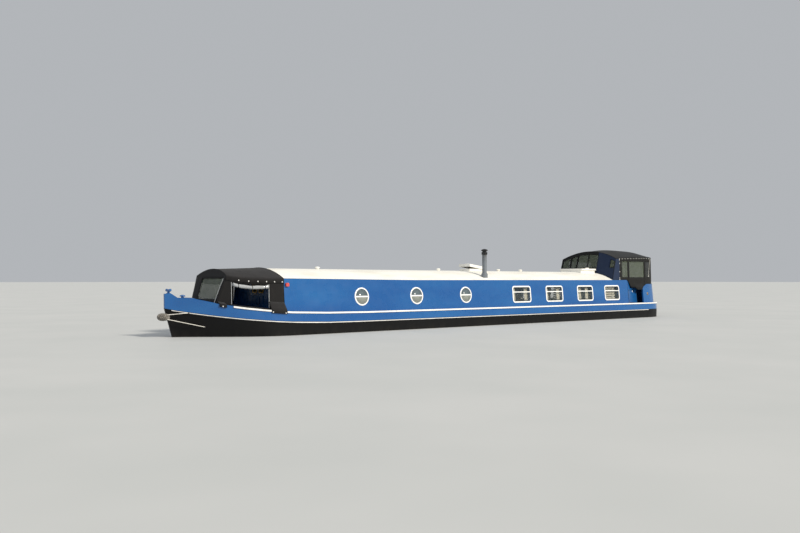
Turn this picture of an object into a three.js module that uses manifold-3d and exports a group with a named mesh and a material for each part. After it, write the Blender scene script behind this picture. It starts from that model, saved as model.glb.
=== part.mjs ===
// A seventy foot wide-beam narrowboat, as an assembly of its own pieces.
// Millimetres. +X runs to the bow, +Y to port, +Z up; the base plate's underside is z = 0.
import * as THREE from 'three';
import { mergeVertices } from 'three/addons/utils/BufferGeometryUtils.js';
import Module from 'manifold-3d';

const wasm = await Module();
wasm.setup();

// Driving dimensions of the hull
const STEM_X = 10550;
const BOW_START_X = 7600;
const SWIM_START_X = -7000;
const STERN_POST_X = -9850;
const HALF_BEAM = 1500;
const COUNTER_Z = 665;
const SWIM_TOP_Z = 640;
const STRAKE_Z = 1030;
const STRAKE_RISE = 425;
const GUNWALE_Z = 1290;
const SHEER_START_X = 5000;

// Driving dimensions of the cabin
const CABIN_FRONT_X = 7740;
const CABIN_AFT_X = -8200;
const SIDE_END_X = -8240;
const WALL = 70;
const SIDE_FOOT_Y = 1385;
const SIDE_TOP_Y = 1300;
const SIDE_TOP_Z = 2190;
const ROOF_THICK = 60;
const DECK_Z = 1150;
const WELL_FLOOR_Z = 950;
const CABIN_FLOOR_Z = 180;
const GAP = 0.3;

const TUMBLE = Math.atan2(SIDE_FOOT_Y - SIDE_TOP_Y, SIDE_TOP_Z - GUNWALE_Z);

// Bow stations: x at the deck edge, half breadth there, height of the deck edge
const BOW_STATIONS = [
  [7600, 1500, 1345],
  [8000, 1465, 1375],
  [8400, 1365, 1418],
  [8800, 1200, 1466],
  [9100, 1035, 1512],
  [9450, 800, 1572],
  [9750, 590, 1650],
  [10000, 400, 1706],
  [10250, 210, 1716],
  [10400, 110, 1835],
  [10550, 30, 1835],
];

// Stations between bow and stern: x, half breadth, height of the deck edge
const MID_STATIONS = [
  [5000, 1500, 1290],
  [6400, 1500, 1306],
];

// Stern stations: share of the swim's length, x and half breadth of the counter above it
const STERN_STATIONS = [
  [0, -7000, 1500],
  [0.2, -9000, 1500],
  [0.35, -9400, 1497],
  [0.5, -9750, 1482],
  [0.62, -10050, 1430],
  [0.74, -10320, 1310],
  [0.85, -10530, 1050],
  [0.94, -10660, 600],
  [1, -10700, 40],
];

// Hull levels: height (null follows the strake or the deck edge), half breadth amidships,
// x of the stem, how fast the bow narrows, how full the swim is (null is the counter)
const LEVELS = {
  base: { z: 0, half: 1440, stem: 9800, flare: 1.5, swim: 1.7 },
  bilge: { z: 350, half: 1475, stem: 10130, flare: 1.3, swim: 2.0 },
  swim: { z: SWIM_TOP_Z, half: 1500, stem: 10300, flare: 1.15, swim: 2.4 },
  counter: { z: COUNTER_Z, half: 1502, stem: 10312, flare: 1.14, swim: null },
  strake: { z: null, half: 1515, stem: 10545, flare: 1.05, swim: null },
  deck: { z: null, half: 1500, stem: STEM_X, flare: 1, swim: null },
};
const LEAST_HALF = 22;

const COLOURS = {
  black: [0x0d0d0e, 0.55, 0.1],
  royalBlue: [0x2a5fae, 0.3, 0.1],
  white: [0xf0f0ee, 0.4, 0.0],
  cream: [0xf1ede0, 0.6, 0.0],
  charcoal: [0x38383a, 0.9, 0.0],
  navyCanvas: [0x2a2f3c, 0.9, 0.0],
  rope: [0x8c8880, 0.95, 0.0],
  steel: [0xb0b2b4, 0.35, 0.9],
  flue: [0x8a8a92, 0.6, 0.4],
  wood: [0x7a5230, 0.6, 0.0],
  bronze: [0xa97c3c, 0.4, 0.9],
  engineGreen: [0x35604a, 0.5, 0.3],
  red: [0xc0201c, 0.3, 0.0],
  green: [0x14803c, 0.3, 0.0],
};

const boat = new THREE.Group();

// Shapes and booleans

function solidOf(geometry) {
  const bare = geometry.clone();
  bare.deleteAttribute('normal');
  bare.deleteAttribute('uv');
  const merged = mergeVertices(bare, 1e-3);
  return new wasm.Manifold(new wasm.Mesh({
    numProp: 3,
    vertProperties: new Float32Array(merged.attributes.position.array),
    triVerts: new Uint32Array(merged.index.array),
  }));
}

function geometryOf(solid) {
  const mesh = solid.getMesh();
  const geometry = new THREE.BufferGeometry();
  geometry.setAttribute('position', new THREE.BufferAttribute(mesh.vertProperties, 3));
  geometry.setIndex(new THREE.BufferAttribute(mesh.triVerts, 1));
  return geometry;
}

function join(...pieces) {
  const solids = pieces.map(solidOf);
  return geometryOf(solids.reduce((whole, next) => whole.add(next)));
}

function cut(piece, ...tools) {
  let whole = solidOf(piece);
  for (const tool of tools) {
    whole = whole.subtract(solidOf(tool));
  }
  return geometryOf(whole);
}

function overlapOf(piece, other) {
  return geometryOf(solidOf(piece).intersect(solidOf(other)));
}

function box(x0, x1, y0, y1, z0, z1) {
  const geometry = new THREE.BoxGeometry(x1 - x0, y1 - y0, z1 - z0);
  return geometry.translate((x0 + x1) / 2, (y0 + y1) / 2, (z0 + z1) / 2);
}

function extrude(points, depth) {
  const shape = new THREE.Shape(points.map(([u, v]) => new THREE.Vector2(u, v)));
  return new THREE.ExtrudeGeometry(shape, { depth, bevelEnabled: false });
}

function plateXY(points, z0, z1) {
  return extrude(points, z1 - z0).translate(0, 0, z0);
}

function plateXZ(points, y0, y1) {
  return extrude(points, y1 - y0).rotateX(Math.PI / 2).translate(0, y1, 0);
}

function plateYZ(points, x0, x1) {
  const turn = new THREE.Matrix4().makeBasis(
    new THREE.Vector3(0, 1, 0),
    new THREE.Vector3(0, 0, 1),
    new THREE.Vector3(1, 0, 0),
  );
  return extrude(points, x1 - x0).applyMatrix4(turn).translate(x0, 0, 0);
}

function upright(radius, z0, z1, sides = 24) {
  const geometry = new THREE.CylinderGeometry(radius, radius, z1 - z0, sides);
  return geometry.rotateX(Math.PI / 2).translate(0, 0, (z0 + z1) / 2);
}

function tube(points, radius, steps, sides = 8) {
  const path = new THREE.CatmullRomCurve3(points.map((p) => new THREE.Vector3(...p)), false, 'chordal');
  const shape = new THREE.Shape(arc(0, 0, radius, 0, 2 * Math.PI, sides).slice(0, sides)
    .map(([u, v]) => new THREE.Vector2(u, v)));
  return new THREE.ExtrudeGeometry(shape, { steps, extrudePath: path });
}

function arc(u, v, radius, from, to, count) {
  return Array.from({ length: count + 1 }, (_, i) => {
    const angle = from + (to - from) * i / count;
    return [u + radius * Math.cos(angle), v + radius * Math.sin(angle)];
  });
}

function roundedRectangle(width, height, radius, count = 4) {
  const u = width / 2 - radius;
  const v = height / 2 - radius;
  const quarter = Math.PI / 2;
  return [
    ...arc(u, v, radius, 0, quarter, count),
    ...arc(-u, v, radius, quarter, 2 * quarter, count),
    ...arc(-u, -v, radius, 2 * quarter, 3 * quarter, count),
    ...arc(u, -v, radius, 3 * quarter, 4 * quarter, count),
  ];
}

// The cap of a ring that runs along port and comes back along starboard, as a row of strips
function stripCap(loop) {
  const last = loop.length - 1;
  const faces = [];
  for (let i = 0; i < loop.length / 2 - 1; i += 1) {
    faces.push([i, i + 1, last - i - 1], [i, last - i - 1, last - i]);
  }
  return faces;
}

// The cap of a flat section, seen along X
function flatCap(loop) {
  const outline = loop.map((p) => new THREE.Vector2(p[1], p[2]));
  const turn = Math.sign(THREE.ShapeUtils.area(outline));
  return THREE.ShapeUtils.triangulateShape(outline, []).map(([a, b, c]) => {
    const way = Math.sign(THREE.ShapeUtils.area([outline[a], outline[b], outline[c]]));
    return way === turn ? [a, b, c] : [a, c, b];
  });
}

function volumeOf(points, faces) {
  let sum = 0;
  for (const [a, b, c] of faces) {
    sum += new THREE.Vector3(...points[a])
      .dot(new THREE.Vector3(...points[b]).cross(new THREE.Vector3(...points[c])));
  }
  return sum / 6;
}

function loft(loops, capOf) {
  const count = loops[0].length;
  const points = loops.flat();
  const faces = [];
  const top = (loops.length - 1) * count;
  for (let row = 0; row < top; row += count) {
    for (let i = 0; i < count; i += 1) {
      const next = (i + 1) % count;
      faces.push([row + i, row + next, row + count + next]);
      faces.push([row + i, row + count + next, row + count + i]);
    }
  }
  for (const [a, b, c] of capOf(loops[0])) {
    faces.push([a, c, b]);
  }
  for (const [a, b, c] of capOf(loops[loops.length - 1])) {
    faces.push([top + a, top + b, top + c]);
  }
  const outward = volumeOf(points, faces) > 0;
  const geometry = new THREE.BufferGeometry();
  geometry.setAttribute('position', new THREE.Float32BufferAttribute(points.flat(), 3));
  geometry.setIndex(faces.flatMap(([a, b, c]) => (outward ? [a, b, c] : [a, c, b])));
  return geometry;
}

function add(name, geometry, colour, parent = boat) {
  const [hex, roughness, metalness] = COLOURS[colour];
  const material = new THREE.MeshStandardMaterial({ color: hex, roughness, metalness });
  const mesh = new THREE.Mesh(geometry, material);
  mesh.name = name;
  parent.add(mesh);
  return mesh;
}

function mirrored(geometry) {
  const flipped = geometry.clone().applyMatrix4(new THREE.Matrix4().makeScale(1, -1, 1));
  const index = flipped.index ? Array.from(flipped.index.array) : null;
  const order = index ?? Array.from({ length: flipped.attributes.position.count }, (_, i) => i);
  const turned = [];
  for (let i = 0; i < order.length; i += 3) {
    turned.push(order[i], order[i + 2], order[i + 1]);
  }
  flipped.setIndex(turned);
  return flipped;
}

// Hull form

function strakeHeight(x) {
  const share = Math.max(0, (x - SHEER_START_X) / (STEM_X - SHEER_START_X));
  return STRAKE_Z + STRAKE_RISE * share ** 2.8;
}

function bowPoint([x, half, deckZ], level) {
  const spread = (level.stem - BOW_START_X) / (STEM_X - BOW_START_X);
  const levelX = BOW_START_X + (x - BOW_START_X) * spread;
  const y = Math.max(LEAST_HALF, level.half * (half / HALF_BEAM) ** level.flare);
  if (level === LEVELS.deck) {
    return [x, y, deckZ];
  }
  return [levelX, y, level.z ?? strakeHeight(levelX)];
}

function midPoint([x, half, deckZ], level) {
  const y = level.half * half / HALF_BEAM;
  if (level === LEVELS.deck) {
    return [x, y, deckZ];
  }
  return [x, y, level.z ?? strakeHeight(x)];
}

function sternPoint([share, x, half], level) {
  const z = level.z ?? (level === LEVELS.deck ? GUNWALE_Z : STRAKE_Z);
  if (level.swim === null) {
    return [x, Math.max(LEAST_HALF, level.half * half / HALF_BEAM), z];
  }
  const swimX = SWIM_START_X + (STERN_POST_X - SWIM_START_X) * share;
  return [swimX, Math.max(30, level.half * (1 - share ** level.swim)), z];
}

// The port half of a level, from the stern post to the stem
function halfRing(level) {
  return [
    ...[...STERN_STATIONS].reverse().map((row) => sternPoint(row, level)),
    ...MID_STATIONS.map((row) => midPoint(row, level)),
    ...BOW_STATIONS.map((row) => bowPoint(row, level)),
  ];
}

function fullRing(half) {
  return [...half, ...[...half].reverse().map(([x, y, z]) => [x, -y, z])];
}

function lifted(ring, dz) {
  return ring.map(([x, y, z]) => [x, y, z + dz]);
}

// The deck edge drawn in by a margin, between two x values, port side from aft to forward
function deckEdge(margin, fromX, toX) {
  const edge = halfRing(LEVELS.deck);
  const inner = edge.filter(([x]) => x > fromX && x < toX);
  return inner.map(([x, y]) => [x, Math.max(y - margin, 5)]);
}

function deckBreadth(x) {
  const edge = halfRing(LEVELS.deck);
  const at = edge.findIndex((p) => p[0] > x);
  const [x0, y0] = edge[at - 1];
  const [x1, y1] = edge[at];
  return y0 + (y1 - y0) * (x - x0) / (x1 - x0);
}

function deckHeight(x) {
  const edge = halfRing(LEVELS.deck);
  const at = edge.findIndex((p) => p[0] > x);
  const [x0, , z0] = edge[at - 1];
  const [x1, , z1] = edge[at];
  return z0 + (z1 - z0) * (x - x0) / (x1 - x0);
}

function bothSides(port) {
  return [...port, ...[...port].reverse().map(([x, y]) => [x, -y])];
}

// Outlines of the hollows, seen from above

const STERN_INSET = 195;
const WELL_AFT_X = 7745;
const WELL_FORE_X = 9350;
const WELL_SIDE = 110;
const HIGH = 3000;

function cockpitOutline(margin) {
  const rim = deckEdge(margin, -10700, -8300);
  return bothSides([[-10700 + margin + 5, 5], ...rim.filter(([x]) => x > -10700 + margin + 20),
    [CABIN_AFT_X - 45, HALF_BEAM - margin]]);
}

function wellOutline() {
  return bothSides([
    [WELL_AFT_X, deckBreadth(WELL_AFT_X) - WELL_SIDE],
    ...deckEdge(WELL_SIDE, WELL_AFT_X, WELL_FORE_X - 100),
    [WELL_FORE_X, deckBreadth(WELL_FORE_X) - WELL_SIDE],
  ]);
}

const CABIN_HOLD_AFT_X = -8100;
const CABIN_HOLD_HALF = 1400;

const RUDDER_X = -10250;
const STOCK_RADIUS = 20;
const STOCK_BORE = 24;

function stockBore() {
  return upright(STOCK_BORE, 500, 1400, 16).translate(RUDDER_X, 0, 0);
}

// Open spaces in the hull: x and half breadth, from aft forwards
const HOLD = [
  [CABIN_HOLD_AFT_X, 1000],
  [SWIM_START_X, 1370],
  [SWIM_START_X + 400, CABIN_HOLD_HALF],
  [BOW_START_X, CABIN_HOLD_HALF],
];
const ENGINE_BAY = [
  [-9300, 330],
  [-8800, 660],
  [-8300, 920],
];
const ENGINE_BED_Z = 150;

function buildHull() {
  const names = ['base', 'bilge', 'swim', 'counter', 'strake'];
  const body = loft(names.map((name) => fullRing(halfRing(LEVELS[name]))), stripCap);
  const hold = plateXY(bothSides(HOLD), CABIN_FLOOR_Z, HIGH);
  const engineBay = plateXY(bothSides(ENGINE_BAY), ENGINE_BED_Z, HIGH);
  const well = plateXY(wellOutline(), WELL_FLOOR_Z, HIGH);
  add('hull', cut(body, hold, engineBay, well, stockBore()), 'black');

  const band = loft([
    lifted(fullRing(halfRing(LEVELS.strake)), GAP),
    fullRing(halfRing(LEVELS.deck)),
  ], stripCap);
  const under = box(CABIN_HOLD_AFT_X, BOW_START_X, -1430, 1430, 0, 1225);
  const through = box(CABIN_AFT_X - 50, WELL_AFT_X, -1315, 1315, 0, HIGH);
  const cockpit = plateXY(cockpitOutline(STERN_INSET), 0, HIGH);
  add('top_band', cut(band, under, through, cockpit, plateXY(wellOutline(), 0, HIGH)), 'royalBlue');
}

// The cap of a section with four corners
function ringCap() {
  return [[0, 1, 2], [0, 2, 3]];
}

const GUNWALE_RAIL = { proud: 25, height: 45 };
const RUB_STRAKE = { proud: 22, drop: 12, height: 40 };

// How far along the line from one level's point to the other a height lies
function alongSide(low, high, z) {
  const share = (z - low[2]) / (high[2] - low[2]);
  return [0, 1, 2].map((k) => low[k] + (high[k] - low[k]) * share);
}

// The outward direction of the hull's side in plan at a station
function outward(ring, index) {
  const before = ring[Math.max(0, index - 1)];
  const after = ring[Math.min(ring.length - 1, index + 1)];
  const along = new THREE.Vector2(after[0] - before[0], after[1] - before[1]).normalize();
  return [-along.y, along.x];
}

function grown(ring, by) {
  return ring.map(([x, y, z], i) => {
    const [outX, outY] = outward(ring, i);
    return [x + outX * by, y + outY * by, z];
  });
}

// A strip on the hull's side, port and starboard, from the first station to the last, held off
// by the gap. Its top lies a drop below the upper level.
function sideStrip(lower, upper, first, last, drop, height, proud) {
  const low = halfRing(LEVELS[lower]);
  const high = halfRing(LEVELS[upper]);
  const loops = [];
  for (let i = first; i <= last; i += 1) {
    const out = outward(high, i);
    const at = (base, by) => [base[0] + out[0] * by, base[1] + out[1] * by, base[2]];
    const top = alongSide(low[i], high[i], high[i][2] - drop);
    const foot = alongSide(low[i], high[i], high[i][2] - drop - height);
    loops.push([at(foot, -25), at(foot, proud), at(top, proud), at(top, -25)]);
  }
  const form = loft([low, high].map((ring) => fullRing(grown(ring, GAP))), stripCap);
  const tall = loft([
    fullRing(grown(low, GAP)),
    fullRing(grown(high, GAP)),
    fullRing(grown(high, GAP)).map(([x, y, z]) => [x, y, z + 50]),
  ], stripCap);
  const strip = loft(loops, ringCap);
  return [
    overlapOf(cut(strip, form, tall), box(-12000, 12000, GAP, 3000, 0, HIGH)),
    overlapOf(cut(mirrored(strip), form, tall), box(-12000, 12000, -3000, -GAP, 0, HIGH)),
  ];
}

function buildSideStrips() {
  const stations = STERN_STATIONS.length + MID_STATIONS.length + BOW_STATIONS.length;
  const rail = sideStrip('strake', 'deck', 0, stations - 7, 0, GUNWALE_RAIL.height, GUNWALE_RAIL.proud);
  const rub = sideStrip('counter', 'strake', 6, stations - 2, RUB_STRAKE.drop, RUB_STRAKE.height,
    RUB_STRAKE.proud);
  ['port', 'starboard'].forEach((word, i) => {
    add(`gunwale_rail_${word}`, rail[i], 'white');
    add(`rubbing_strake_${word}`, rub[i], 'white');
  });
}

// Foredeck and what stands on it

const FOREDECK = { aft: 9460, fore: 10230, thick: 14, margin: 60 };
const LOCKER = { aft: 9560, fore: 9930, crest: 9750, half: 240, thick: 24 };
const STUD = { x: 10470, baseZ: 1835, post: 32, height: 110, bar: 20, barHalf: 130 };
const VENT = { x: 10130, radius: 62, stem: 26, height: 90 };

function foredeckLoop(x, dz) {
  const half = deckBreadth(x) - FOREDECK.margin;
  const z = deckHeight(x) + dz;
  return [[x, half, z], [x, half, z + FOREDECK.thick], [x, -half, z + FOREDECK.thick], [x, -half, z]];
}

function buildForedeck() {
  const xs = [FOREDECK.aft, 9750, 10000, FOREDECK.fore];
  add('foredeck', loft(xs.map((x) => foredeckLoop(x, GAP)), ringCap), 'royalBlue');

  // The lid bears on the plate where the deck is crowned
  const length = LOCKER.fore - LOCKER.aft;
  const slope = (deckHeight(LOCKER.fore) - deckHeight(LOCKER.aft)) / length;
  const crestZ = deckHeight(LOCKER.crest) + FOREDECK.thick + 2 * GAP;
  const lid = box(0, length, -LOCKER.half, LOCKER.half, 0, LOCKER.thick);
  const mesh = add('fore_locker_lid', lid, 'royalBlue');
  mesh.position.set(LOCKER.aft, 0, crestZ - slope * (LOCKER.crest - LOCKER.aft));
  mesh.rotation.y = -Math.atan(slope);

  const stud = join(
    upright(STUD.post, STUD.baseZ + GAP, STUD.baseZ + STUD.height, 16),
    upright(STUD.bar, -STUD.barHalf, STUD.barHalf, 12).rotateX(Math.PI / 2)
      .translate(0, 0, STUD.baseZ + STUD.height),
  );
  add('bow_t_stud', stud.translate(STUD.x, 0, 0), 'royalBlue');

  const ventSeat = deckHeight(VENT.x + VENT.stem) + FOREDECK.thick + 2 * GAP;
  const vent = new THREE.LatheGeometry([
    [0, 0], [VENT.stem, 0], [VENT.stem, VENT.height - 42], [VENT.radius, VENT.height - 36],
    [VENT.radius * 0.8, VENT.height - 12], [0, VENT.height],
  ].map(([r, z]) => new THREE.Vector2(r, z)), 16).rotateX(Math.PI / 2);
  add('foredeck_vent', vent.translate(VENT.x, 0, ventSeat), 'royalBlue');
}

// Bow fender: a fat rope pudding bent around the stem, deeper than it is high

const FENDER = { z: 1230, nose: 10725, depth: 125, radius: 92, endX: 10480, endY: 130, lean: 0.4 };

function buildFender() {
  const route = [];
  const swell = [];
  const count = 12;
  for (let i = 0; i <= count; i += 1) {
    const turn = -1 + 2 * i / count;
    const x = FENDER.nose - FENDER.depth - (FENDER.nose - FENDER.depth - FENDER.endX) * turn ** 2;
    route.push([x, FENDER.endY * turn, FENDER.z]);
    swell.push(FENDER.radius * (1 - 0.45 * turn ** 4));
  }
  const loops = route.map(([x, y, z], i) => {
    const before = route[Math.max(0, i - 1)];
    const after = route[Math.min(count, i + 1)];
    const bend = (after[0] - before[0]) * FENDER.lean;
    const along = new THREE.Vector2(bend, after[1] - before[1]).normalize();
    return arc(0, 0, swell[i], 0, 2 * Math.PI, 12).slice(0, 12)
      .map(([u, v]) => [u * FENDER.depth / FENDER.radius, v])
      .map(([u, v]) => [x + along.y * u, y - along.x * u, z + v]);
  });
  add('bow_fender', cut(loft(loops, fanCap), stemClearance()), 'rope');
}

function fanCap(loop) {
  return Array.from({ length: loop.length - 2 }, (_, i) => [0, i + 1, i + 2]);
}

// The bow's own form grown by the gap, which the fender is cut to
function stemClearance() {
  const rings = ['swim', 'counter', 'strake', 'deck'].map((name) => {
    const side = grown(halfRing(LEVELS[name]), GAP).slice(-6);
    const [x, y, z] = side.pop();
    return fullRing([...side, [x + GAP, y, z]]);
  });
  return loft(rings, stripCap);
}

// Cabin

// Cabin stations: x, height of the roof's edge, height of the roof's crown
const CABIN_STATIONS = [
  [CABIN_FRONT_X, 2235, 2520],
  [3000, 2190, 2510],
  [CABIN_AFT_X, 2190, 2500],
];

function cabinStation(x) {
  const at = CABIN_STATIONS.findIndex((row) => row[0] <= x);
  const i = Math.max(1, at === -1 ? CABIN_STATIONS.length - 1 : at);
  const [x0, e0, c0] = CABIN_STATIONS[i - 1];
  const [x1, e1, c1] = CABIN_STATIONS[i];
  const share = Math.min(1, Math.max(0, (x - x0) / (x1 - x0)));
  return { edge: e0 + (e1 - e0) * share, crown: c0 + (c1 - c0) * share };
}

// Half breadth of the cabin side's outer face at a height
function sideFace(z) {
  return SIDE_FOOT_Y - (z - GUNWALE_Z) * Math.tan(TUMBLE);
}

function archRadius(halfChord, rise) {
  return (halfChord ** 2 + rise ** 2) / (2 * rise);
}

// Points of an arch from port to starboard, through its two edges and its crown, and past the
// edges by the reach
function arch(halfChord, edgeZ, crownZ, count, reach = 0) {
  const radius = archRadius(halfChord, crownZ - edgeZ);
  const angle = Math.asin((halfChord + reach) / radius);
  return arc(0, crownZ - radius, radius, Math.PI / 2 - angle, Math.PI / 2 + angle, count);
}

function roofHeight(x, y) {
  const { edge, crown } = cabinStation(x);
  const radius = archRadius(SIDE_TOP_Y, crown - edge);
  return crown - radius + Math.sqrt(radius ** 2 - y ** 2);
}

const ROOF_SEGMENTS = 14;

function roofLoop(x, outerLift, innerDrop) {
  const { edge, crown } = cabinStation(x);
  const outer = arch(SIDE_TOP_Y, edge, crown, ROOF_SEGMENTS).map(([y, z]) => [x, y, z + outerLift]);
  const inner = arch(SIDE_TOP_Y - WALL - 30, edge, crown - innerDrop, ROOF_SEGMENTS).reverse()
    .map(([y, z]) => [x, y, z]);
  return [...outer, ...inner];
}

const SIDE_XS = [CABIN_FRONT_X, BOW_START_X, 6400, 5000, 3000, SIDE_END_X];

function sideLoop(x) {
  const foot = deckHeight(Math.min(x, 9000)) + GAP;
  const top = cabinStation(x).edge - GAP;
  return [
    [x, sideFace(foot), foot],
    [x, sideFace(top), top],
    [x, sideFace(top) - WALL, top],
    [x, sideFace(foot) - WALL, foot],
  ];
}

// Windows and portholes: x of the centre, on both sides alike
const PORTHOLE_XS = [5090, 2950, 810];
const PORTHOLE = { radius: 265, opening: 222, z: 1710, flange: 14 };
const WINDOW_XS = [-1920, -3690, -5490, -7180];
const WINDOW = { width: 960, height: 580, frame: 46, corner: 80, z: 1700, flange: 14 };
const PANE_BACK = 20;

// A group whose own axes lie in the cabin side: x along the boat, z up the slope, y outboard
function onSide(x, z, side) {
  const group = new THREE.Group();
  group.position.set(x, side * sideFace(z), z);
  group.rotation.x = side * TUMBLE;
  if (side < 0) {
    group.rotation.z = Math.PI;
    group.rotation.x = -TUMBLE;
  }
  group.rotation.order = 'XYZ';
  boat.add(group);
  group.updateMatrixWorld();
  return group;
}

function placed(geometry, group) {
  return geometry.clone().applyMatrix4(group.matrixWorld);
}

function windowOutline(grow) {
  const inner = WINDOW.frame - grow;
  return roundedRectangle(WINDOW.width - 2 * inner, WINDOW.height - 2 * inner, WINDOW.corner - inner + 20);
}

function buildCabinSides() {
  const windowTool = plateXZ(windowOutline(0), -200, 200);
  const portholeTool = plateXZ(arc(0, 0, PORTHOLE.opening, 0, 2 * Math.PI, 24).slice(0, 24), -200, 200);
  const windowFrame = join(
    plateXZ(roundedRectangle(WINDOW.width, WINDOW.height, WINDOW.corner), GAP + 0.4, WINDOW.flange),
    plateXZ(windowOutline(-1), -PANE_BACK, 2),
  );
  const portholeFrame = join(
    plateXZ(arc(0, 0, PORTHOLE.radius, 0, 2 * Math.PI, 24).slice(0, 24), GAP + 0.4, PORTHOLE.flange),
    plateXZ(arc(0, 0, PORTHOLE.opening - 1.5, 0, 2 * Math.PI, 24).slice(0, 24), -PANE_BACK, 2),
  );
  for (const [word, side] of [['port', 1], ['starboard', -1]]) {
    const tools = [];
    WINDOW_XS.forEach((x, i) => {
      const place = onSide(x, WINDOW.z, side);
      tools.push(placed(windowTool, place));
      add(`window_${word}_${i + 1}`, windowFrame.clone(), 'white', place);
    });
    PORTHOLE_XS.forEach((x, i) => {
      const place = onSide(x, PORTHOLE.z, side);
      tools.push(placed(portholeTool, place));
      add(`porthole_${word}_${i + 1}`, portholeFrame.clone(), 'white', place);
    });
    const wall = loft(SIDE_XS.map(sideLoop), ringCap);
    add(`cabin_side_${word}`, cut(side > 0 ? wall : mirrored(wall), ...tools), 'royalBlue');
  }
}

// Roof hatches: x range, half width of the opening, height of the coaming above the crown
const MID_HATCH = { aft: -1290, fore: -500, half: 240, coaming: 70, lid: 55, open: 8 };
const AFT_HATCH = { aft: -7260, fore: -6380, half: 490, coaming: 60, lid: 70, open: 0 };
const COMPANION = { aft: -8200, fore: -7560, half: 400, coaming: 40, lid: 40, open: 0 };
const DOORWAY_HALF = 356;
const COAMING = 40;
const VENT_XS = [5710, 760, -2200, -3400];
const ROOF_VENT = { radius: 80, stem: 55, height: 75 };
const CHIMNEY = { x: -330, y: 1095, collar: 105, collarLow: 2230, collarTop: 2375, flue: 78, flueTop: 3035 };

function coamingOf(hatch) {
  const top = cabinStation(hatch.fore).crown + hatch.coaming;
  const low = roofHeight(hatch.fore, hatch.half) - 30;
  return box(hatch.aft, hatch.fore, -hatch.half, hatch.half, low, top);
}

function openingOf(hatch) {
  return box(hatch.aft + COAMING, hatch.fore - COAMING, -hatch.half + COAMING, hatch.half - COAMING, 2000, HIGH);
}

function buildRoof() {
  const shell = loft([CABIN_FRONT_X, 3000, CABIN_AFT_X].map((x) => roofLoop(x, 0, ROOF_THICK)), flatCap);
  const collar = upright(CHIMNEY.collar, CHIMNEY.collarLow, CHIMNEY.collarTop, 20)
    .translate(CHIMNEY.x, CHIMNEY.y, 0);
  const vents = VENT_XS.map((x) => new THREE.LatheGeometry([
    [0, -30], [ROOF_VENT.stem, -30], [ROOF_VENT.stem, ROOF_VENT.height - 45],
    [ROOF_VENT.radius, ROOF_VENT.height - 40], [ROOF_VENT.radius * 0.8, ROOF_VENT.height - 12],
    [0, ROOF_VENT.height],
  ].map(([r, z]) => new THREE.Vector2(r, z)), 12).rotateX(Math.PI / 2)
    .translate(x, 0, cabinStation(x).crown));
  const flats = overlapOf(
    join(coamingOf(MID_HATCH), coamingOf(AFT_HATCH), coamingOf(COMPANION)),
    box(CABIN_AFT_X, CABIN_FRONT_X, -SIDE_TOP_Y, SIDE_TOP_Y, 0, HIGH),
  );
  const whole = join(shell, collar, flats, ...vents);
  const doorway = box(CABIN_AFT_X - 100, COMPANION.fore - COAMING, -DOORWAY_HALF, DOORWAY_HALF, 2000, HIGH);
  add('roof', cut(whole, openingOf(MID_HATCH), openingOf(AFT_HATCH), doorway), 'cream');
}

// A lid turns about the edge named by hinge: its own group stands on that edge
function buildLid(name, hatch, hinge, overhang) {
  const group = new THREE.Group();
  const top = cabinStation(hatch.fore).crown + hatch.coaming;
  const hingeX = hinge === 'aft' ? hatch.aft : hatch.fore;
  const way = hinge === 'aft' ? 1 : -1;
  const length = hatch.fore - hatch.aft + overhang;
  group.position.set(hingeX, 0, top + GAP);
  group.rotation.y = -way * THREE.MathUtils.degToRad(hatch.open);
  boat.add(group);
  const half = hatch.half + overhang;
  const slab = box(Math.min(0, way * length), Math.max(0, way * length), -half, half, 0, hatch.lid);
  add(name, slab, 'cream', group);
}

function buildLids() {
  buildLid('roof_hatch_mid', MID_HATCH, 'aft', 25);
  buildLid('roof_hatch_aft', AFT_HATCH, 'fore', 40);
  buildLid('companion_hatch', COMPANION, 'fore', 20);
}

function buildChimney() {
  const flue = upright(CHIMNEY.flue, CHIMNEY.collarTop + GAP, CHIMNEY.flueTop, 20);
  add('chimney', flue.translate(CHIMNEY.x, CHIMNEY.y, 0), 'flue');
  const cap = new THREE.LatheGeometry([
    [0, GAP], [88, GAP], [88, 80], [70, 95], [70, 120], [112, 135], [112, 165], [60, 215], [0, 235],
  ].map(([r, z]) => new THREE.Vector2(r, z)), 20).rotateX(Math.PI / 2);
  add('chimney_cap', cap.translate(CHIMNEY.x, CHIMNEY.y, CHIMNEY.flueTop), 'black');
}

// Bulkheads with their doors

const DOOR = { half: 350, thick: 36, top: 2330, gap: 5 };

function bulkheadOutline(footZ, x) {
  const { edge, crown } = cabinStation(x);
  const inner = arch(SIDE_TOP_Y - WALL - 30, edge, crown - ROOF_THICK, ROOF_SEGMENTS)
    .filter(([y]) => Math.abs(y) < SIDE_TOP_Y - WALL - 40)
    .map(([y, z]) => [y, z - 3]);
  const foot = 1306;
  const shoulder = sideFace(edge) - WALL - 3;
  const knee = sideFace(1400) - WALL - 3;
  return [[-foot, footZ], [foot, footZ], [foot, 1340], [knee, 1400], [shoulder, edge - 12], ...inner,
    [-shoulder, edge - 12], [-knee, 1400], [-foot, 1340]];
}

function buildBulkhead(name, x0, x1, footZ, sillZ, doorTop) {
  const wall = plateYZ(bulkheadOutline(footZ, x0), x0, x1);
  const doorway = box(x0 - 10, x1 + 10, -DOOR.half, DOOR.half, sillZ, doorTop);
  add(name, cut(wall, doorway), 'royalBlue');
}

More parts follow.
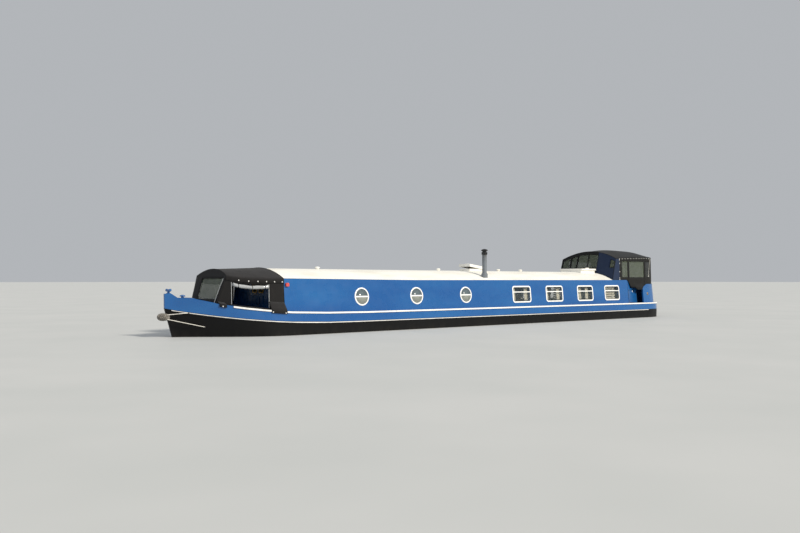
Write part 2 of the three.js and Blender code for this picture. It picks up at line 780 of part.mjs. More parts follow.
// A leaf hangs on the outer corner of its half of the doorway, and lies inboard of that corner.
// The hinge's knuckle runs the height of the leaf and bears on the doorway's edge.
function buildLeaf(name, faceX, inboard, side, sillZ, topZ) {
  const group = new THREE.Group();
  group.position.set(faceX, side * (DOOR.half - DOOR.gap), 0);
  boat.add(group);
  const width = DOOR.half - 1.5 * DOOR.gap;
  const leaf = box(Math.min(0, inboard * DOOR.thick), Math.max(0, inboard * DOOR.thick),
    Math.min(0, -side * width), Math.max(0, -side * width), sillZ + DOOR.gap, topZ - DOOR.gap);
  const knuckle = upright(DOOR.gap - GAP, sillZ + DOOR.gap, topZ - DOOR.gap, 12);
  add(name, join(leaf, knuckle), 'royalBlue', group);
}

const FRONT_SILL_Z = 1160;
const AFT_SILL_Z = 1200;

function buildBulkheads() {
  const frontFoot = strakeHeight(CABIN_FRONT_X) + 1;
  buildBulkhead('front_bulkhead', CABIN_FRONT_X - WALL, CABIN_FRONT_X - GAP, frontFoot, FRONT_SILL_Z, DOOR.top);
  buildBulkhead('aft_bulkhead', CABIN_AFT_X + GAP, CABIN_AFT_X + WALL, STRAKE_Z + GAP, AFT_SILL_Z, HIGH);
  const aftTop = cabinStation(COMPANION.aft).crown + COMPANION.coaming - 6;
  for (const [word, side] of [['port', 1], ['starboard', -1]]) {
    buildLeaf(`front_door_${word}`, CABIN_FRONT_X, -1, side, FRONT_SILL_Z, DOOR.top);
    buildLeaf(`aft_door_${word}`, CABIN_AFT_X, 1, side, AFT_SILL_Z, aftTop);
  }
}

const NAV_LIGHT = { x: 7650, z: 2060, radius: 48, deep: 60 };

function buildNavLights() {
  for (const [word, side, colour] of [['port', 1, 'red'], ['starboard', -1, 'green']]) {
    const place = onSide(NAV_LIGHT.x, NAV_LIGHT.z, side);
    const face = roundedRectangle(NAV_LIGHT.radius * 2, NAV_LIGHT.radius * 2, 20);
    const light = plateXZ(face, GAP + 0.4, NAV_LIGHT.deep);
    add(`nav_light_${word}`, light, colour, place);
  }
}

// Cratch: a glazed board and a ridge plank, under a canvas cover

// Cover stations: x, half breadth at the gunwale, half breadth at the eave, eave and crown heights
const CRATCH_STATIONS = [
  [7746, 1372, 1318, 2232, 2536],
  [8000, 1345, 1300, 2232, 2532],
  [8400, 1262, 1235, 2236, 2522],
  [8800, 1100, 1080, 2244, 2508],
  [9100, 940, 900, 2285, 2492],
  [9300, 800, 735, 2315, 2472],
];
const CRATCH_FRONT = { footX: 9440, topX: 9140, footZ: 1560, topZ: 2460 };
const CANVAS = 20;

function cratchLoop([x, foot, eave, eaveZ, crownZ], inset, footZ) {
  const roof = arch(eave - inset, eaveZ - inset, crownZ - inset, 10).map(([y, z]) => [x, y, z]);
  return [[x, foot - inset, footZ], ...roof, [x, -foot + inset, footZ]];
}

function cratchSolid(inset, frontInset) {
  const rows = [...CRATCH_STATIONS];
  const last = rows[rows.length - 1];
  rows.push([9480, 680, 660, 2285, 2450]);
  if (inset > 0) {
    rows[0] = [rows[0][0] - 100, ...rows[0].slice(1)];
  }
  const body = loft(rows.map((row) => cratchLoop(row, inset, last[4] - 1500)), flatCap);
  const rake = (CRATCH_FRONT.footX - CRATCH_FRONT.topX) / (CRATCH_FRONT.topZ - CRATCH_FRONT.footZ);
  const cutX = (z) => CRATCH_FRONT.footX - frontInset - (z - CRATCH_FRONT.footZ) * rake;
  const fore = plateXZ([[cutX(800), 800], [11000, 800], [11000, HIGH], [cutX(HIGH), HIGH]], -2000, 2000);
  return cut(body, fore);
}

// Everything at or below the deck edge around the well, which the cover stands on
function belowDeckEdge(lift) {
  const xs = [7000, 7600, 8000, 8400, 8800, 9100, 9450, 9750];
  const outline = [[7000, 0], ...xs.map((x) => [x, deckHeight(x) + lift]), [9750, 0]];
  return plateXZ(outline, -2000, 2000);
}

// The open window in the cover's port side runs down to a hem above the deck edge
const CRATCH_WINDOW = { aft: 8200, fore: 9090, hem: 25, high: 2060 };

function buildCratch() {
  const shell = cut(cratchSolid(0, 0), cratchSolid(CANVAS, CANVAS), belowDeckEdge(GAP));
  const { aft, fore, hem, high } = CRATCH_WINDOW;
  const sill = [aft, 8400, 8800, fore].map((x) => [x, deckHeight(x) + hem]);
  const opening = plateXZ([...sill, [fore, high], [aft, high]], 500, 2000);
  add('cratch_cover', cut(shell, opening), 'charcoal');

  const board = cut(
    cut(cratchSolid(CANVAS + 2, CANVAS + 3), belowDeckEdge(GAP)),
    cratchSolid(CANVAS + 62, CANVAS - 100),
    cut(box(7000, 11000, -2000, 2000, 0, HIGH), rakedSlab(CANVAS + 2, CANVAS + 45)),
  );
  const plank = overlapOf(
    box(CABIN_FRONT_X + 2, 9330, -75, 75, 2380, 2408),
    cratchSolid(CANVAS + 2, CANVAS + 3),
  );
  add('cratch_board', join(board, plank), 'wood');
}

// The slice of space just behind the raked front
function rakedSlab(from, to) {
  const rake = (CRATCH_FRONT.footX - CRATCH_FRONT.topX) / (CRATCH_FRONT.topZ - CRATCH_FRONT.footZ);
  const at = (z, inset) => CRATCH_FRONT.footX - inset - (z - CRATCH_FRONT.footZ) * rake;
  const corners = [[at(0, to), 0], [at(0, from), 0], [at(HIGH, from), HIGH], [at(HIGH, to), HIGH]];
  return plateXZ(corners, -2500, 2500);
}

// Stern: deck, bulwark, gates, hood

const DECK_FRAME = 60;

function buildSternDeck() {
  const outline = cockpitOutline(STERN_INSET + 2);
  const forward = CABIN_AFT_X - 2;
  const astern = box(-11000, forward, -2000, 2000, 0, HIGH);
  const slab = overlapOf(plateXY(outline, STRAKE_Z + GAP, DECK_Z), astern);
  const hollow = overlapOf(
    plateXY(cockpitOutline(STERN_INSET + DECK_FRAME), 900, DECK_Z - 30),
    box(-9900, forward - DECK_FRAME, -2000, 2000, 0, HIGH),
  );
  add('stern_deck', cut(slab, hollow, stockBore()), 'steel');
}

const GATE = { fore: -8250, aft: -9290, bottom: 1305, low: 1880, high: 2178, curve: 330, thick: 40, open: 15 };
const BULWARK = { fore: -9300, thick: 60, lowZ: 1910, highZ: 2030, riseFrom: -9330, riseTo: -9600, inset: 115 };

function sternRing(margin, z) {
  const edge = halfRing(LEVELS.deck).filter(([x]) => x < -8000);
  const count = edge.length;
  return edge.map(([x, y], i) => {
    const ahead = edge[Math.min(count - 1, i + 1)];
    const behind = edge[Math.max(0, i - 1)];
    const along = new THREE.Vector2(ahead[0] - behind[0], ahead[1] - behind[1]).normalize();
    const px = i === 0 ? x + margin : x + along.y * margin;
    const py = i === 0 ? y : y - along.x * margin;
    return [px, Math.max(py, 6), z];
  });
}

function sternPrism(footMargin, topMargin, z0, z1) {
  const low = sternRing(footMargin, z0);
  const high = sternRing(topMargin, z1);
  return loft([fullRing(low), fullRing(high)], stripCap);
}

function bulwarkTop() {
  return plateXZ([
    [-11000, BULWARK.highZ], [BULWARK.riseTo, BULWARK.highZ], [BULWARK.riseFrom, BULWARK.lowZ],
    [-7000, BULWARK.lowZ], [-7000, HIGH + 500], [-11000, HIGH + 500],
  ], -2000, 2000);
}

function buildBulwark() {
  const lean = (BULWARK.highZ - GUNWALE_Z) * Math.tan(TUMBLE);
  const outer = sternPrism(BULWARK.inset, BULWARK.inset + lean, GUNWALE_Z + GAP, BULWARK.highZ + 60);
  const inner = sternPrism(BULWARK.inset + BULWARK.thick, BULWARK.inset + BULWARK.thick + lean,
    GUNWALE_Z - 5, BULWARK.highZ + 70);
  const ahead = box(BULWARK.fore, -7000, -2000, 2000, 0, HIGH);
  add('stern_bulwark', cut(outer, inner, bulwarkTop(), ahead), 'royalBlue');
}

// The gate's own outline: it falls from the cabin side's height to the rail in a double curve
function gateOutline() {
  const width = GATE.fore - GATE.aft;
  const curve = Array.from({ length: 7 }, (_, i) => {
    const share = i / 6;
    return [-share * GATE.curve, GATE.high - (GATE.high - GATE.low) * (1 - Math.cos(Math.PI * share)) / 2];
  });
  return [[0, GATE.bottom], ...curve, [-width, GATE.low], [-width, GATE.bottom]]
    .map(([x, z]) => [x, (z - GATE.bottom) / Math.cos(TUMBLE)]);
}

// A gate turns about its inner edge, where a hinge knuckle bears on the end of the cabin side
function buildGates() {
  const knuckle = upright(SIDE_END_X - GATE.fore - GAP, 0, GATE.low - GATE.bottom, 12);
  for (const [word, side, open] of [['port', 1, GATE.open], ['starboard', -1, 0]]) {
    const lean = new THREE.Group();
    const footY = sideFace(GATE.bottom) - GATE.thick - 3;
    lean.position.set(GATE.fore, side * footY, GATE.bottom);
    lean.rotation.x = side * TUMBLE;
    boat.add(lean);
    const swing = new THREE.Group();
    swing.rotation.z = side * THREE.MathUtils.degToRad(open);
    lean.add(swing);
    const leaf = plateXZ(gateOutline(), Math.min(0, side * GATE.thick), Math.max(0, side * GATE.thick));
    add(`gate_${word}`, join(leaf, knuckle), 'royalBlue', swing);
  }
}

// Hood stations: x, half breadth at the eave, eave and crown heights
const HOOD_STATIONS = [
  [-7480, 1290, 3020, 3310],
  [-7900, 1290, 3030, 3360],
  [-8300, 1290, 3050, 3400],
  [-9000, 1290, 3070, 3412],
  [-9650, 1290, 3085, 3380],
  [-10150, 1290, 3030, 3300],
  [-10700, 1290, 2950, 3180],
];
const HOOD = { footX: -7290, rake: 0.3, sideMargin: 187, lean: 0.02, clear: 12, roofCrown: 2503 };

function hoodTop(inset) {
  const rows = HOOD_STATIONS.map(([x, half, eaveZ, crownZ]) => {
    const roof = arch(half, eaveZ - inset, crownZ - inset, 14, 200).map(([y, z]) => [x, y, z]);
    return [[x, half + 200, 1000], ...roof, [x, -half - 200, 1000]];
  });
  const ahead = rows[0].map(([x, y, z]) => [x + 600, y, z]);
  const astern = rows[rows.length - 1].map(([x, y, z]) => [x - 100, y, z]);
  return loft([ahead, ...rows, astern], flatCap);
}

function hoodPlan(inset) {
  const height = 2500;
  const rings = [GUNWALE_Z, GUNWALE_Z + height].map((z) => {
    const margin = HOOD.sideMargin + inset + (z - GUNWALE_Z) * HOOD.lean;
    const ring = sternRing(margin, z).map(([x, y]) => [x, y, z]);
    ring.push([-7000, HALF_BEAM - margin, z]);
    return fullRing(ring);
  });
  return loft(rings, stripCap);
}

function hoodSolid(inset) {
  const at = (z) => HOOD.footX - inset - (z - SIDE_TOP_Z) * HOOD.rake;
  const ahead = plateXZ([[at(800), 800], [0, 800], [0, 4000], [at(4000), 4000]], -2500, 2500);
  return cut(overlapOf(hoodPlan(inset), hoodTop(inset)), ahead);
}

// What the hood stands on: the roof and cabin sides, the gates and the bulwark, with a clearance
function underHood() {
  const roof = loft([-6000, CABIN_AFT_X, SIDE_END_X - 4].map((x) => {
    const line = arch(SIDE_TOP_Y, SIDE_TOP_Z + GAP, HOOD.roofCrown, 30, 300).map(([y, z]) => [x, y, z]);
    return [[x, SIDE_TOP_Y + 300, 500], ...line, [x, -SIDE_TOP_Y - 300, 500]];
  }), flatCap);
  const shoulder = box(-9000, -6000, -2000, 2000, 0, SIDE_TOP_Z + GAP);
  const overGate = gateOutline().slice(1, -1).map(([x, z]) => [
    x + GATE.fore - 8,
    z * Math.cos(TUMBLE) + GATE.bottom + HOOD.clear,
  ]);
  const gateTop = plateXZ([
    [SIDE_END_X - 4, 0], [SIDE_END_X - 4, GATE.high + HOOD.clear],
    ...overGate,
    [GATE.aft - 10, 0],
  ], -2500, 2500);
  const rail = plateXZ([
    [-11500, BULWARK.highZ + 2], [BULWARK.riseTo, BULWARK.highZ + 2], [BULWARK.riseFrom, BULWARK.lowZ + 2],
    [GATE.aft - 8, BULWARK.lowZ + 2], [GATE.aft - 8, 0], [-11500, 0],
  ], -2500, 2500);
  return [roof, overlapOf(shoulder, box(SIDE_END_X - 8, -6000, -2000, 2000, 0, HIGH)), gateTop, rail];
}

function buildHood() {
  add('stern_hood', cut(hoodSolid(0), hoodSolid(CANVAS), ...underHood()), 'navyCanvas');
}

// Hoops of the hood frame: x, and the height of the foot
const HOOPS = [
  [-7830, 2220.6],
  [-8222, 2190.6],
  [-9560, 2018.6],
  [-10150, 2030.6],
];
const HOOP = { radius: 13, clear: 8, crest: 1140, corner: 125 };

function hoodHeight(x, y, inset) {
  const at = HOOD_STATIONS.findIndex((row) => row[0] < x);
  const [x0, half, e0, c0] = HOOD_STATIONS[at - 1];
  const [x1, , e1, c1] = HOOD_STATIONS[at];
  const share = (x - x0) / (x1 - x0);
  const crown = c0 + (c1 - c0) * share - inset;
  const edge = e0 + (e1 - e0) * share - inset;
  const radius = archRadius(half, crown - edge);
  return crown - radius + Math.sqrt(radius ** 2 - y ** 2);
}

// Half breadth of the hood's wall, drawn in by an inset, at a height
function hoodBreadth(x, z, inset) {
  const ring = sternRing(HOOD.sideMargin + inset + (z - GUNWALE_Z) * HOOD.lean, z);
  ring.push([-7000, ring[ring.length - 1][1], z]);
  const at = ring.findIndex((p) => p[0] > x);
  const [x0, y0] = ring[at - 1];
  const [x1, y1] = ring[at];
  return y0 + (y1 - y0) * (x - x0) / (x1 - x0);
}

function buildHoodFrame() {
  const inset = CANVAS + HOOP.radius + HOOP.clear;
  const hoops = HOOPS.map(([x, footZ]) => {
    const kneeZ = footZ + 0.75 * (hoodHeight(x, HOOP.crest, inset) - footZ);
    const reach = hoodBreadth(x, kneeZ, inset);
    const shoulder = reach - HOOP.corner;
    const half = [0, 0.25, 0.5, 0.75, 1].map((share) => {
      const z = footZ + (kneeZ - footZ) * share;
      return [x, hoodBreadth(x, z, inset), z];
    });
    for (const share of [1, 0.75, 0.4]) {
      half.push([x, shoulder * share, hoodHeight(x, shoulder * share, inset + (share === 1 ? 25 : 4))]);
    }
    const route = [...half, [x, 0, hoodHeight(x, 0, inset + 4)], ...[...half].reverse()
      .map(([a, y, z]) => [a, -y, z])];
    return tube(route, HOOP.radius, 22, 6);
  });
  const ridge = HOOPS.map(([x]) => [x, 0, hoodHeight(x, 0, inset + 8)]);
  add('hood_frame', join(...hoops, tube(ridge, HOOP.radius, 9, 6)), 'steel');
}

// Below the water: engine, stern gear, rudder

const ENGINE = { aft: -9200, fore: -8400, half: 270, low: 150, high: 850 };
const SHAFT_Z = 330;
const PROP = { x: -9995, radius: 250, hub: 55, hubLength: 110, blades: 4, pitch: 0.6 };
const STERN_TUBE = { aft: PROP.x + PROP.hubLength / 2 + GAP, radius: 48 };
const SKEG = { aft: -10330, half: 24, top: 50 };
const RUDDER = { lead: 120, trail: 400, low: 75, high: 600, thick: 22 };
const TILLER = { seatZ: 1260, tip: 1020 };

function buildPropeller() {
  const group = new THREE.Group();
  group.position.set(PROP.x, 0, SHAFT_Z);
  boat.add(group);
  const hub = upright(PROP.hub, -PROP.hubLength / 2, PROP.hubLength / 2, 16).rotateY(Math.PI / 2);
  const blades = Array.from({ length: PROP.blades }, (_, i) => {
    const blade = new THREE.CylinderGeometry(PROP.radius * 0.36, PROP.radius * 0.36, 14, 14);
    blade.rotateZ(Math.PI / 2).scale(1, 1, 1.2).rotateZ(PROP.pitch);
    return blade.translate(0, 0, PROP.radius * 0.56).rotateX(2 * Math.PI * i / PROP.blades);
  });
  add('propeller', join(hub, ...blades), 'bronze', group);
}

function buildRudder() {
  const group = new THREE.Group();
  group.position.set(RUDDER_X, 0, 0);
  boat.add(group);
  const stock = upright(STOCK_RADIUS, SKEG.top + GAP, TILLER.seatZ, 16);
  const blade = box(-RUDDER.trail, RUDDER.lead, -RUDDER.thick / 2, RUDDER.thick / 2, RUDDER.low, RUDDER.high);
  add('rudder', join(stock, blade), 'black', group);
  const neck = tube([
    [0, 0, TILLER.seatZ + GAP], [0, 0, TILLER.seatZ + 220], [70, 0, TILLER.seatZ + 480],
    [260, 0, TILLER.seatZ + 640], [620, 0, TILLER.seatZ + 700], [TILLER.tip, 0, TILLER.seatZ + 730],
  ], 19, 24, 10);
  add('tiller', neck, 'steel', group);
}

const DOLLY = { x: -10130, y: 640, radius: 36, head: 62, height: 150 };

function buildSternGear() {
  add('engine', box(ENGINE.aft, ENGINE.fore, -ENGINE.half, ENGINE.half, ENGINE.low + GAP, ENGINE.high), 'engineGreen');
  const tubeLength = STERN_POST_X - GAP - STERN_TUBE.aft;
  const boss = upright(STERN_TUBE.radius, 0, tubeLength, 16).rotateY(Math.PI / 2);
  add('stern_tube', boss.translate(STERN_TUBE.aft, 0, SHAFT_Z), 'steel');
  add('skeg', box(SKEG.aft, STERN_POST_X - GAP, -SKEG.half, SKEG.half, 0, SKEG.top), 'black');
  buildPropeller();
  buildRudder();
  for (const [word, side] of [['port', 1], ['starboard', -1]]) {
    const dolly = new THREE.LatheGeometry([
      [0, GAP], [DOLLY.radius, GAP], [DOLLY.radius * 0.7, DOLLY.height * 0.5],
      [DOLLY.head, DOLLY.height - 40], [DOLLY.head, DOLLY.height - 12], [0, DOLLY.height],
    ].map(([r, z]) => new THREE.Vector2(r, z)), 14).rotateX(Math.PI / 2);
    add(`stern_dolly_${word}`, dolly.translate(DOLLY.x, side * DOLLY.y, DECK_Z), 'royalBlue');
  }
}

buildHull();
buildSideStrips();
buildForedeck();
buildFender();
buildCabinSides();
buildRoof();
buildLids();
buildChimney();
buildBulkheads();
buildNavLights();
buildCratch();
buildSternDeck();
buildBulwark();
buildGates();
buildHood();
buildHoodFrame();
buildSternGear();

export default boat;
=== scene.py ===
# %% [markdown]
# # A wide-beam narrowboat, dressed on its CAD frame
#
# The CAD model fixes every size and place. This lesson starts from it and adds what CAD leaves out:
# canvas with its windows and fastenings, window frames with glass, rope, fittings and finishes.
# Everything is in metres. +X runs to the bow, +Y to port, +Z up, and z = 0 is the base plate.

# %% Load the frame
import math

import bmesh
import bpy
from mathutils import Matrix, Vector


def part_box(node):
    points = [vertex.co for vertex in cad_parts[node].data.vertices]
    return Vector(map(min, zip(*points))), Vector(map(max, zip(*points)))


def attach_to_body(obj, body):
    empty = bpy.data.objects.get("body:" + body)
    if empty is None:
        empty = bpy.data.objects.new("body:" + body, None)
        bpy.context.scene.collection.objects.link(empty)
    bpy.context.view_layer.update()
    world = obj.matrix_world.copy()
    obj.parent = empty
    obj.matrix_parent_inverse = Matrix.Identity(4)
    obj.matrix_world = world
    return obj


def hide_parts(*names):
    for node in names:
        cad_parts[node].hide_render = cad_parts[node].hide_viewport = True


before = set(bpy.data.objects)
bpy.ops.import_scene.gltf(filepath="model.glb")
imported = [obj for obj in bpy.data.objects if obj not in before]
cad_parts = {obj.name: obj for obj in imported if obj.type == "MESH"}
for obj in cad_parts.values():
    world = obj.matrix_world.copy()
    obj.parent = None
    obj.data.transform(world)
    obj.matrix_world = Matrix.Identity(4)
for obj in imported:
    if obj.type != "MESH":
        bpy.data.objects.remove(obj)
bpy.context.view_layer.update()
print("nodes in the frame:", len(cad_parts))

# %% [markdown]
# ## Camera
# The camera comes first, because it decides which details count. It could be placed by eye. Here its
# place was worked out from the parallel lines of the boat, so that every edge falls where it should.
# It stands about 29 m from the middle of the boat and 1.5 m above its waterline.

# %% Camera
IMAGE_WIDTH = 800
FOCAL_PIXELS = 843
HORIZON_DROP_PIXELS = 13.5
SENSOR = 36.0
EYE = Vector((20.267, 20.488, 2.19))
FORWARD = Vector((-0.6561, -0.7547, 0.0)).normalized()


def make_camera():
    """Adds the camera, aimed a little upwards so that the horizon falls below the middle."""
    lens = bpy.data.cameras.new("camera")
    lens.sensor_width = SENSOR
    lens.lens = FOCAL_PIXELS / IMAGE_WIDTH * SENSOR
    lens.clip_end = 1500.0
    lens.dof.use_dof = False
    camera = bpy.data.objects.new("camera", lens)
    pitch = math.atan2(HORIZON_DROP_PIXELS, FOCAL_PIXELS)
    aim = FORWARD * math.cos(pitch) + Vector((0, 0, math.sin(pitch)))
    camera.location = EYE
    camera.rotation_euler = aim.to_track_quat("-Z", "Y").to_euler()
    bpy.context.scene.collection.objects.link(camera)
    bpy.context.scene.camera = camera
    return camera


camera = make_camera()
print("camera at", tuple(round(v, 2) for v in camera.location), "lens", round(camera.data.lens, 2), "mm")

# %% [markdown]
# ## Tools for materials
# A material in Blender is a tree of nodes. One function adds any node with its settings and links,
# so that a tree reads from top to bottom like a recipe. Another turns the sRGB hex colour that a
# paint chart gives into the linear values that shaders use.

# %% Shader tools
MATERIALS = {}
MIX_A, MIX_B, MIX_RESULT = 6, 7, 2
CLOUDS = {"Detail": 3.0, "Roughness": 0.55}


def linear(hex_code):
    """Turns an sRGB hex colour into linear RGBA."""
    channels = [int(hex_code[i:i + 2], 16) / 255 for i in (1, 3, 5)]
    values = [c / 12.92 if c <= 0.04045 else ((c + 0.055) / 1.055) ** 2.4 for c in channels]
    return (*values, 1.0)


def add(tree, kind, inputs=None, out=0, **settings):
    """Adds a node and returns one output. An input is a value, a hex colour or the socket that feeds it."""
    node = tree.nodes.new("ShaderNode" + kind)
    for key, value in settings.items():
        setattr(node, key, value)
    for key, value in (inputs or {}).items():
        if isinstance(value, bpy.types.NodeSocket):
            tree.links.new(value, node.inputs[key])
        else:
            node.inputs[key].default_value = linear(value) if isinstance(value, str) else value
    return node.outputs[out]


def new_material(name, base, roughness, metallic=0.0, **more):
    """Starts a material: a Principled shader with even values, and the object's own coordinates."""
    material = bpy.data.materials.new(name)
    material.use_nodes = True
    tree = material.node_tree
    shader = tree.nodes["Principled BSDF"]
    even = {"Base_Color": linear(base), "Roughness": roughness, "Metallic": metallic, **more}
    for key, value in even.items():
        shader.inputs[key.replace("_", " ")].default_value = value
    MATERIALS[name] = material
    return tree, shader, add(tree, "TexCoord", out="Object")


def feed(tree, shader, **outputs):
    """Links sockets to the shader's inputs."""
    for key, socket in outputs.items():
        tree.links.new(socket, shader.inputs[key.replace("_", " ")])


print("shader tools: linear, add, new_material, feed")

# %% [markdown]
# ## Enamel on steel plate
# The topsides are gloss enamel, brushed over rolled steel. An even colour would look like plastic:
# what the eye reads as painted plate is slow waves in the highlights, faint strokes and a slight
# fading in patches, so noise drives all three. Sizes of patterns are real sizes. All materials read
# the object's own coordinates, which are the boat's, so a pattern runs on from piece to piece.

# %% Enamel


def enamel(name, base, faded, roughness=0.22):
    """Brushed gloss enamel: waves of 0.45 m in the plate, bristle strokes of 2 mm, fading by the metre."""
    tree, shader, place = new_material(name, base, roughness, Coat_Weight=0.25)
    bands = add(tree, "Mapping", {"Vector": place, "Scale": (0.35, 1.0, 1.6)})
    patches = add(tree, "TexNoise", {"Vector": bands, "Scale": 1 / 1.1, **CLOUDS})
    share = add(tree, "MapRange", {"Value": patches, "From Min": 0.35, "From Max": 0.7})
    colour = add(tree, "Mix", {0: share, MIX_A: base, MIX_B: faded}, MIX_RESULT, data_type="RGBA")
    cloud = add(tree, "TexNoise", {"Vector": place, "Scale": 1 / 0.25, **CLOUDS})
    gloss = add(tree, "MapRange", {
        "Value": cloud, "From Min": 0.3, "From Max": 0.75, "To Min": roughness, "To Max": roughness + 0.16,
    })
    rolled = add(tree, "Mapping", {"Vector": place, "Scale": (1.0, 1.0, 0.6)})
    waves = add(tree, "TexNoise", {"Vector": rolled, "Scale": 1 / 0.45, **CLOUDS, "Detail": 1.0})
    strokes = add(tree, "Mapping", {"Vector": place, "Scale": (0.04, 1.0, 1.0)})
    brushed = add(tree, "TexNoise", {"Vector": strokes, "Scale": 1 / 0.002, **CLOUDS, "Detail": 1.0})
    height = add(tree, "Math", {0: brushed, 1: 0.03, 2: waves}, operation="MULTIPLY_ADD")
    normal = add(tree, "Bump", {"Height": height, "Distance": 0.006, "Strength": 0.6})
    feed(tree, shader, Base_Color=colour, Roughness=gloss, Normal=normal)


enamel("blue_paint", "#145291", "#1D5F9B")
print("enamel: blue_paint")

# %% [markdown]
# The hull below is bitumen blacking, a thick coat that is brushed on each few years. It is dull, its
# strokes run along the hull, and a dusty band shows towards its foot. The strake between the two
# is a half-round bar. It could be two materials with a cut between them; one material that changes
# at a height is simpler and gives the ragged edge that a scraped strake has.

# %% Blacking and strake
STRAKE = {"from_x": 5.0, "to_x": 10.55, "z": 1.03, "rise": 0.425, "power": 2.8}


def hull_blacking(name):
    """Bitumen blacking: dull black, strokes of 12 mm along the hull, dirt towards its foot."""
    tree, shader, place = new_material(name, "#09090A", 0.55, Specular_IOR_Level=0.2)
    level = add(tree, "SeparateXYZ", {"Vector": place}, "Z")
    foot = add(tree, "MapRange", {"Value": level, "From Min": 0.90, "From Max": 0.68})
    runs = add(tree, "Mapping", {"Vector": place, "Scale": (1.0, 1.0, 0.12)})
    cloud = add(tree, "TexNoise", {"Vector": runs, "Scale": 1 / 0.12, **CLOUDS})
    streaks = add(tree, "MapRange", {"Value": cloud, "From Min": 0.4, "From Max": 0.7})
    dirt = add(tree, "Math", {0: foot, 1: streaks}, operation="MULTIPLY")
    colour = add(tree, "Mix", {0: dirt, MIX_A: "#09090A", MIX_B: "#1B1916"}, MIX_RESULT, data_type="RGBA")
    broad = add(tree, "TexNoise", {"Vector": place, "Scale": 1 / 0.3, **CLOUDS})
    gloss = add(tree, "MapRange", {
        "Value": broad, "From Min": 0.3, "From Max": 0.7, "To Min": 0.38, "To Max": 0.62,
    })
    strokes = add(tree, "Mapping", {"Vector": place, "Scale": (0.08, 1.0, 1.0)})
    brushed = add(tree, "TexNoise", {"Vector": strokes, "Scale": 1 / 0.012, **CLOUDS})
    normal = add(tree, "Bump", {"Height": brushed, "Distance": 0.0012, "Strength": 1.0})
    feed(tree, shader, Base_Color=colour, Roughness=gloss, Normal=normal)


def strake_paint(name):
    """The half-round strake: white paint on its upper edge, blacking scraped up from below."""
    tree, shader, place = new_material(name, "#EDEBE6", 0.4)
    axes = add(tree, "SeparateXYZ", {"Vector": place}).node.outputs
    reach = {"From Min": STRAKE["from_x"], "From Max": STRAKE["to_x"]}
    along = add(tree, "MapRange", {"Value": axes["X"], **reach})
    sweep = add(tree, "Math", {0: along, 1: STRAKE["power"]}, operation="POWER")
    line = add(tree, "Math", {0: sweep, 1: STRAKE["rise"], 2: STRAKE["z"]}, operation="MULTIPLY_ADD")
    above = add(tree, "Math", {0: axes["Z"], 1: line}, operation="SUBTRACT")
    wobble = add(tree, "TexNoise", {"Vector": place, "Scale": 1 / 0.15, **CLOUDS})
    ragged = add(tree, "Math", {0: wobble, 1: 0.012, 2: above}, operation="MULTIPLY_ADD")
    white = add(tree, "MapRange", {"Value": ragged, "From Min": -0.026, "From Max": -0.022})
    colour = add(tree, "Mix", {0: white, MIX_A: "#121214", MIX_B: "#EDEBE6"}, MIX_RESULT, data_type="RGBA")
    knocks = add(tree, "TexNoise", {"Vector": place, "Scale": 1 / 0.01, **CLOUDS})
    normal = add(tree, "Bump", {"Height": knocks, "Distance": 0.0006, "Strength": 1.0})
    feed(tree, shader, Base_Color=colour, Normal=normal)


hull_blacking("hull_black")
strake_paint("strake_paint")
print("bitumen and strake: hull_black, strake_paint")

# %% [markdown]
# The roof is cream deck paint with sand in it, so that feet don't slip. Grains of 2.5 mm take the
# gloss away, dust gathers in patches, and rain leaves marks that run down from the crown. The stern
# deck is steel tread plate: a photograph of one could be laid on it, but two crossed waves give its
# raised bars without a picture, at their true spacing of 30 mm.

# %% Deck paint and tread plate
TREAD_PITCH = 0.03


def roof_paint(name):
    """Cream non-slip deck paint: sand, dust in patches of 0.6 m, rain marks."""
    tree, shader, place = new_material(name, "#F2EEE1", 0.62)
    patches = add(tree, "Mapping", {"Vector": place, "Scale": (0.5, 1.4, 1.0)})
    cloud = add(tree, "TexNoise", {"Vector": patches, "Scale": 1 / 0.6, **CLOUDS, "Detail": 6.0})
    dust = add(tree, "MapRange", {"Value": cloud, "From Min": 0.45, "From Max": 0.75, "To Max": 0.6})
    runs = add(tree, "Mapping", {"Vector": place, "Scale": (3.0, 0.4, 1.0)})
    drops = add(tree, "TexNoise", {"Vector": runs, "Scale": 1 / 0.18, **CLOUDS})
    marks = add(tree, "MapRange", {"Value": drops, "From Min": 0.55, "From Max": 0.8, "To Max": 0.5})
    share = add(tree, "Math", {0: dust, 1: marks}, operation="MAXIMUM")
    colour = add(tree, "Mix", {0: share, MIX_A: "#EFEDE5", MIX_B: "#D6D0C0"}, MIX_RESULT, data_type="RGBA")
    sand = add(tree, "TexNoise", {"Vector": place, "Scale": 1 / 0.0025, **CLOUDS, "Detail": 2.0})
    normal = add(tree, "Bump", {"Height": sand, "Distance": 0.0008, "Strength": 1.0})
    feed(tree, shader, Base_Color=colour, Normal=normal)


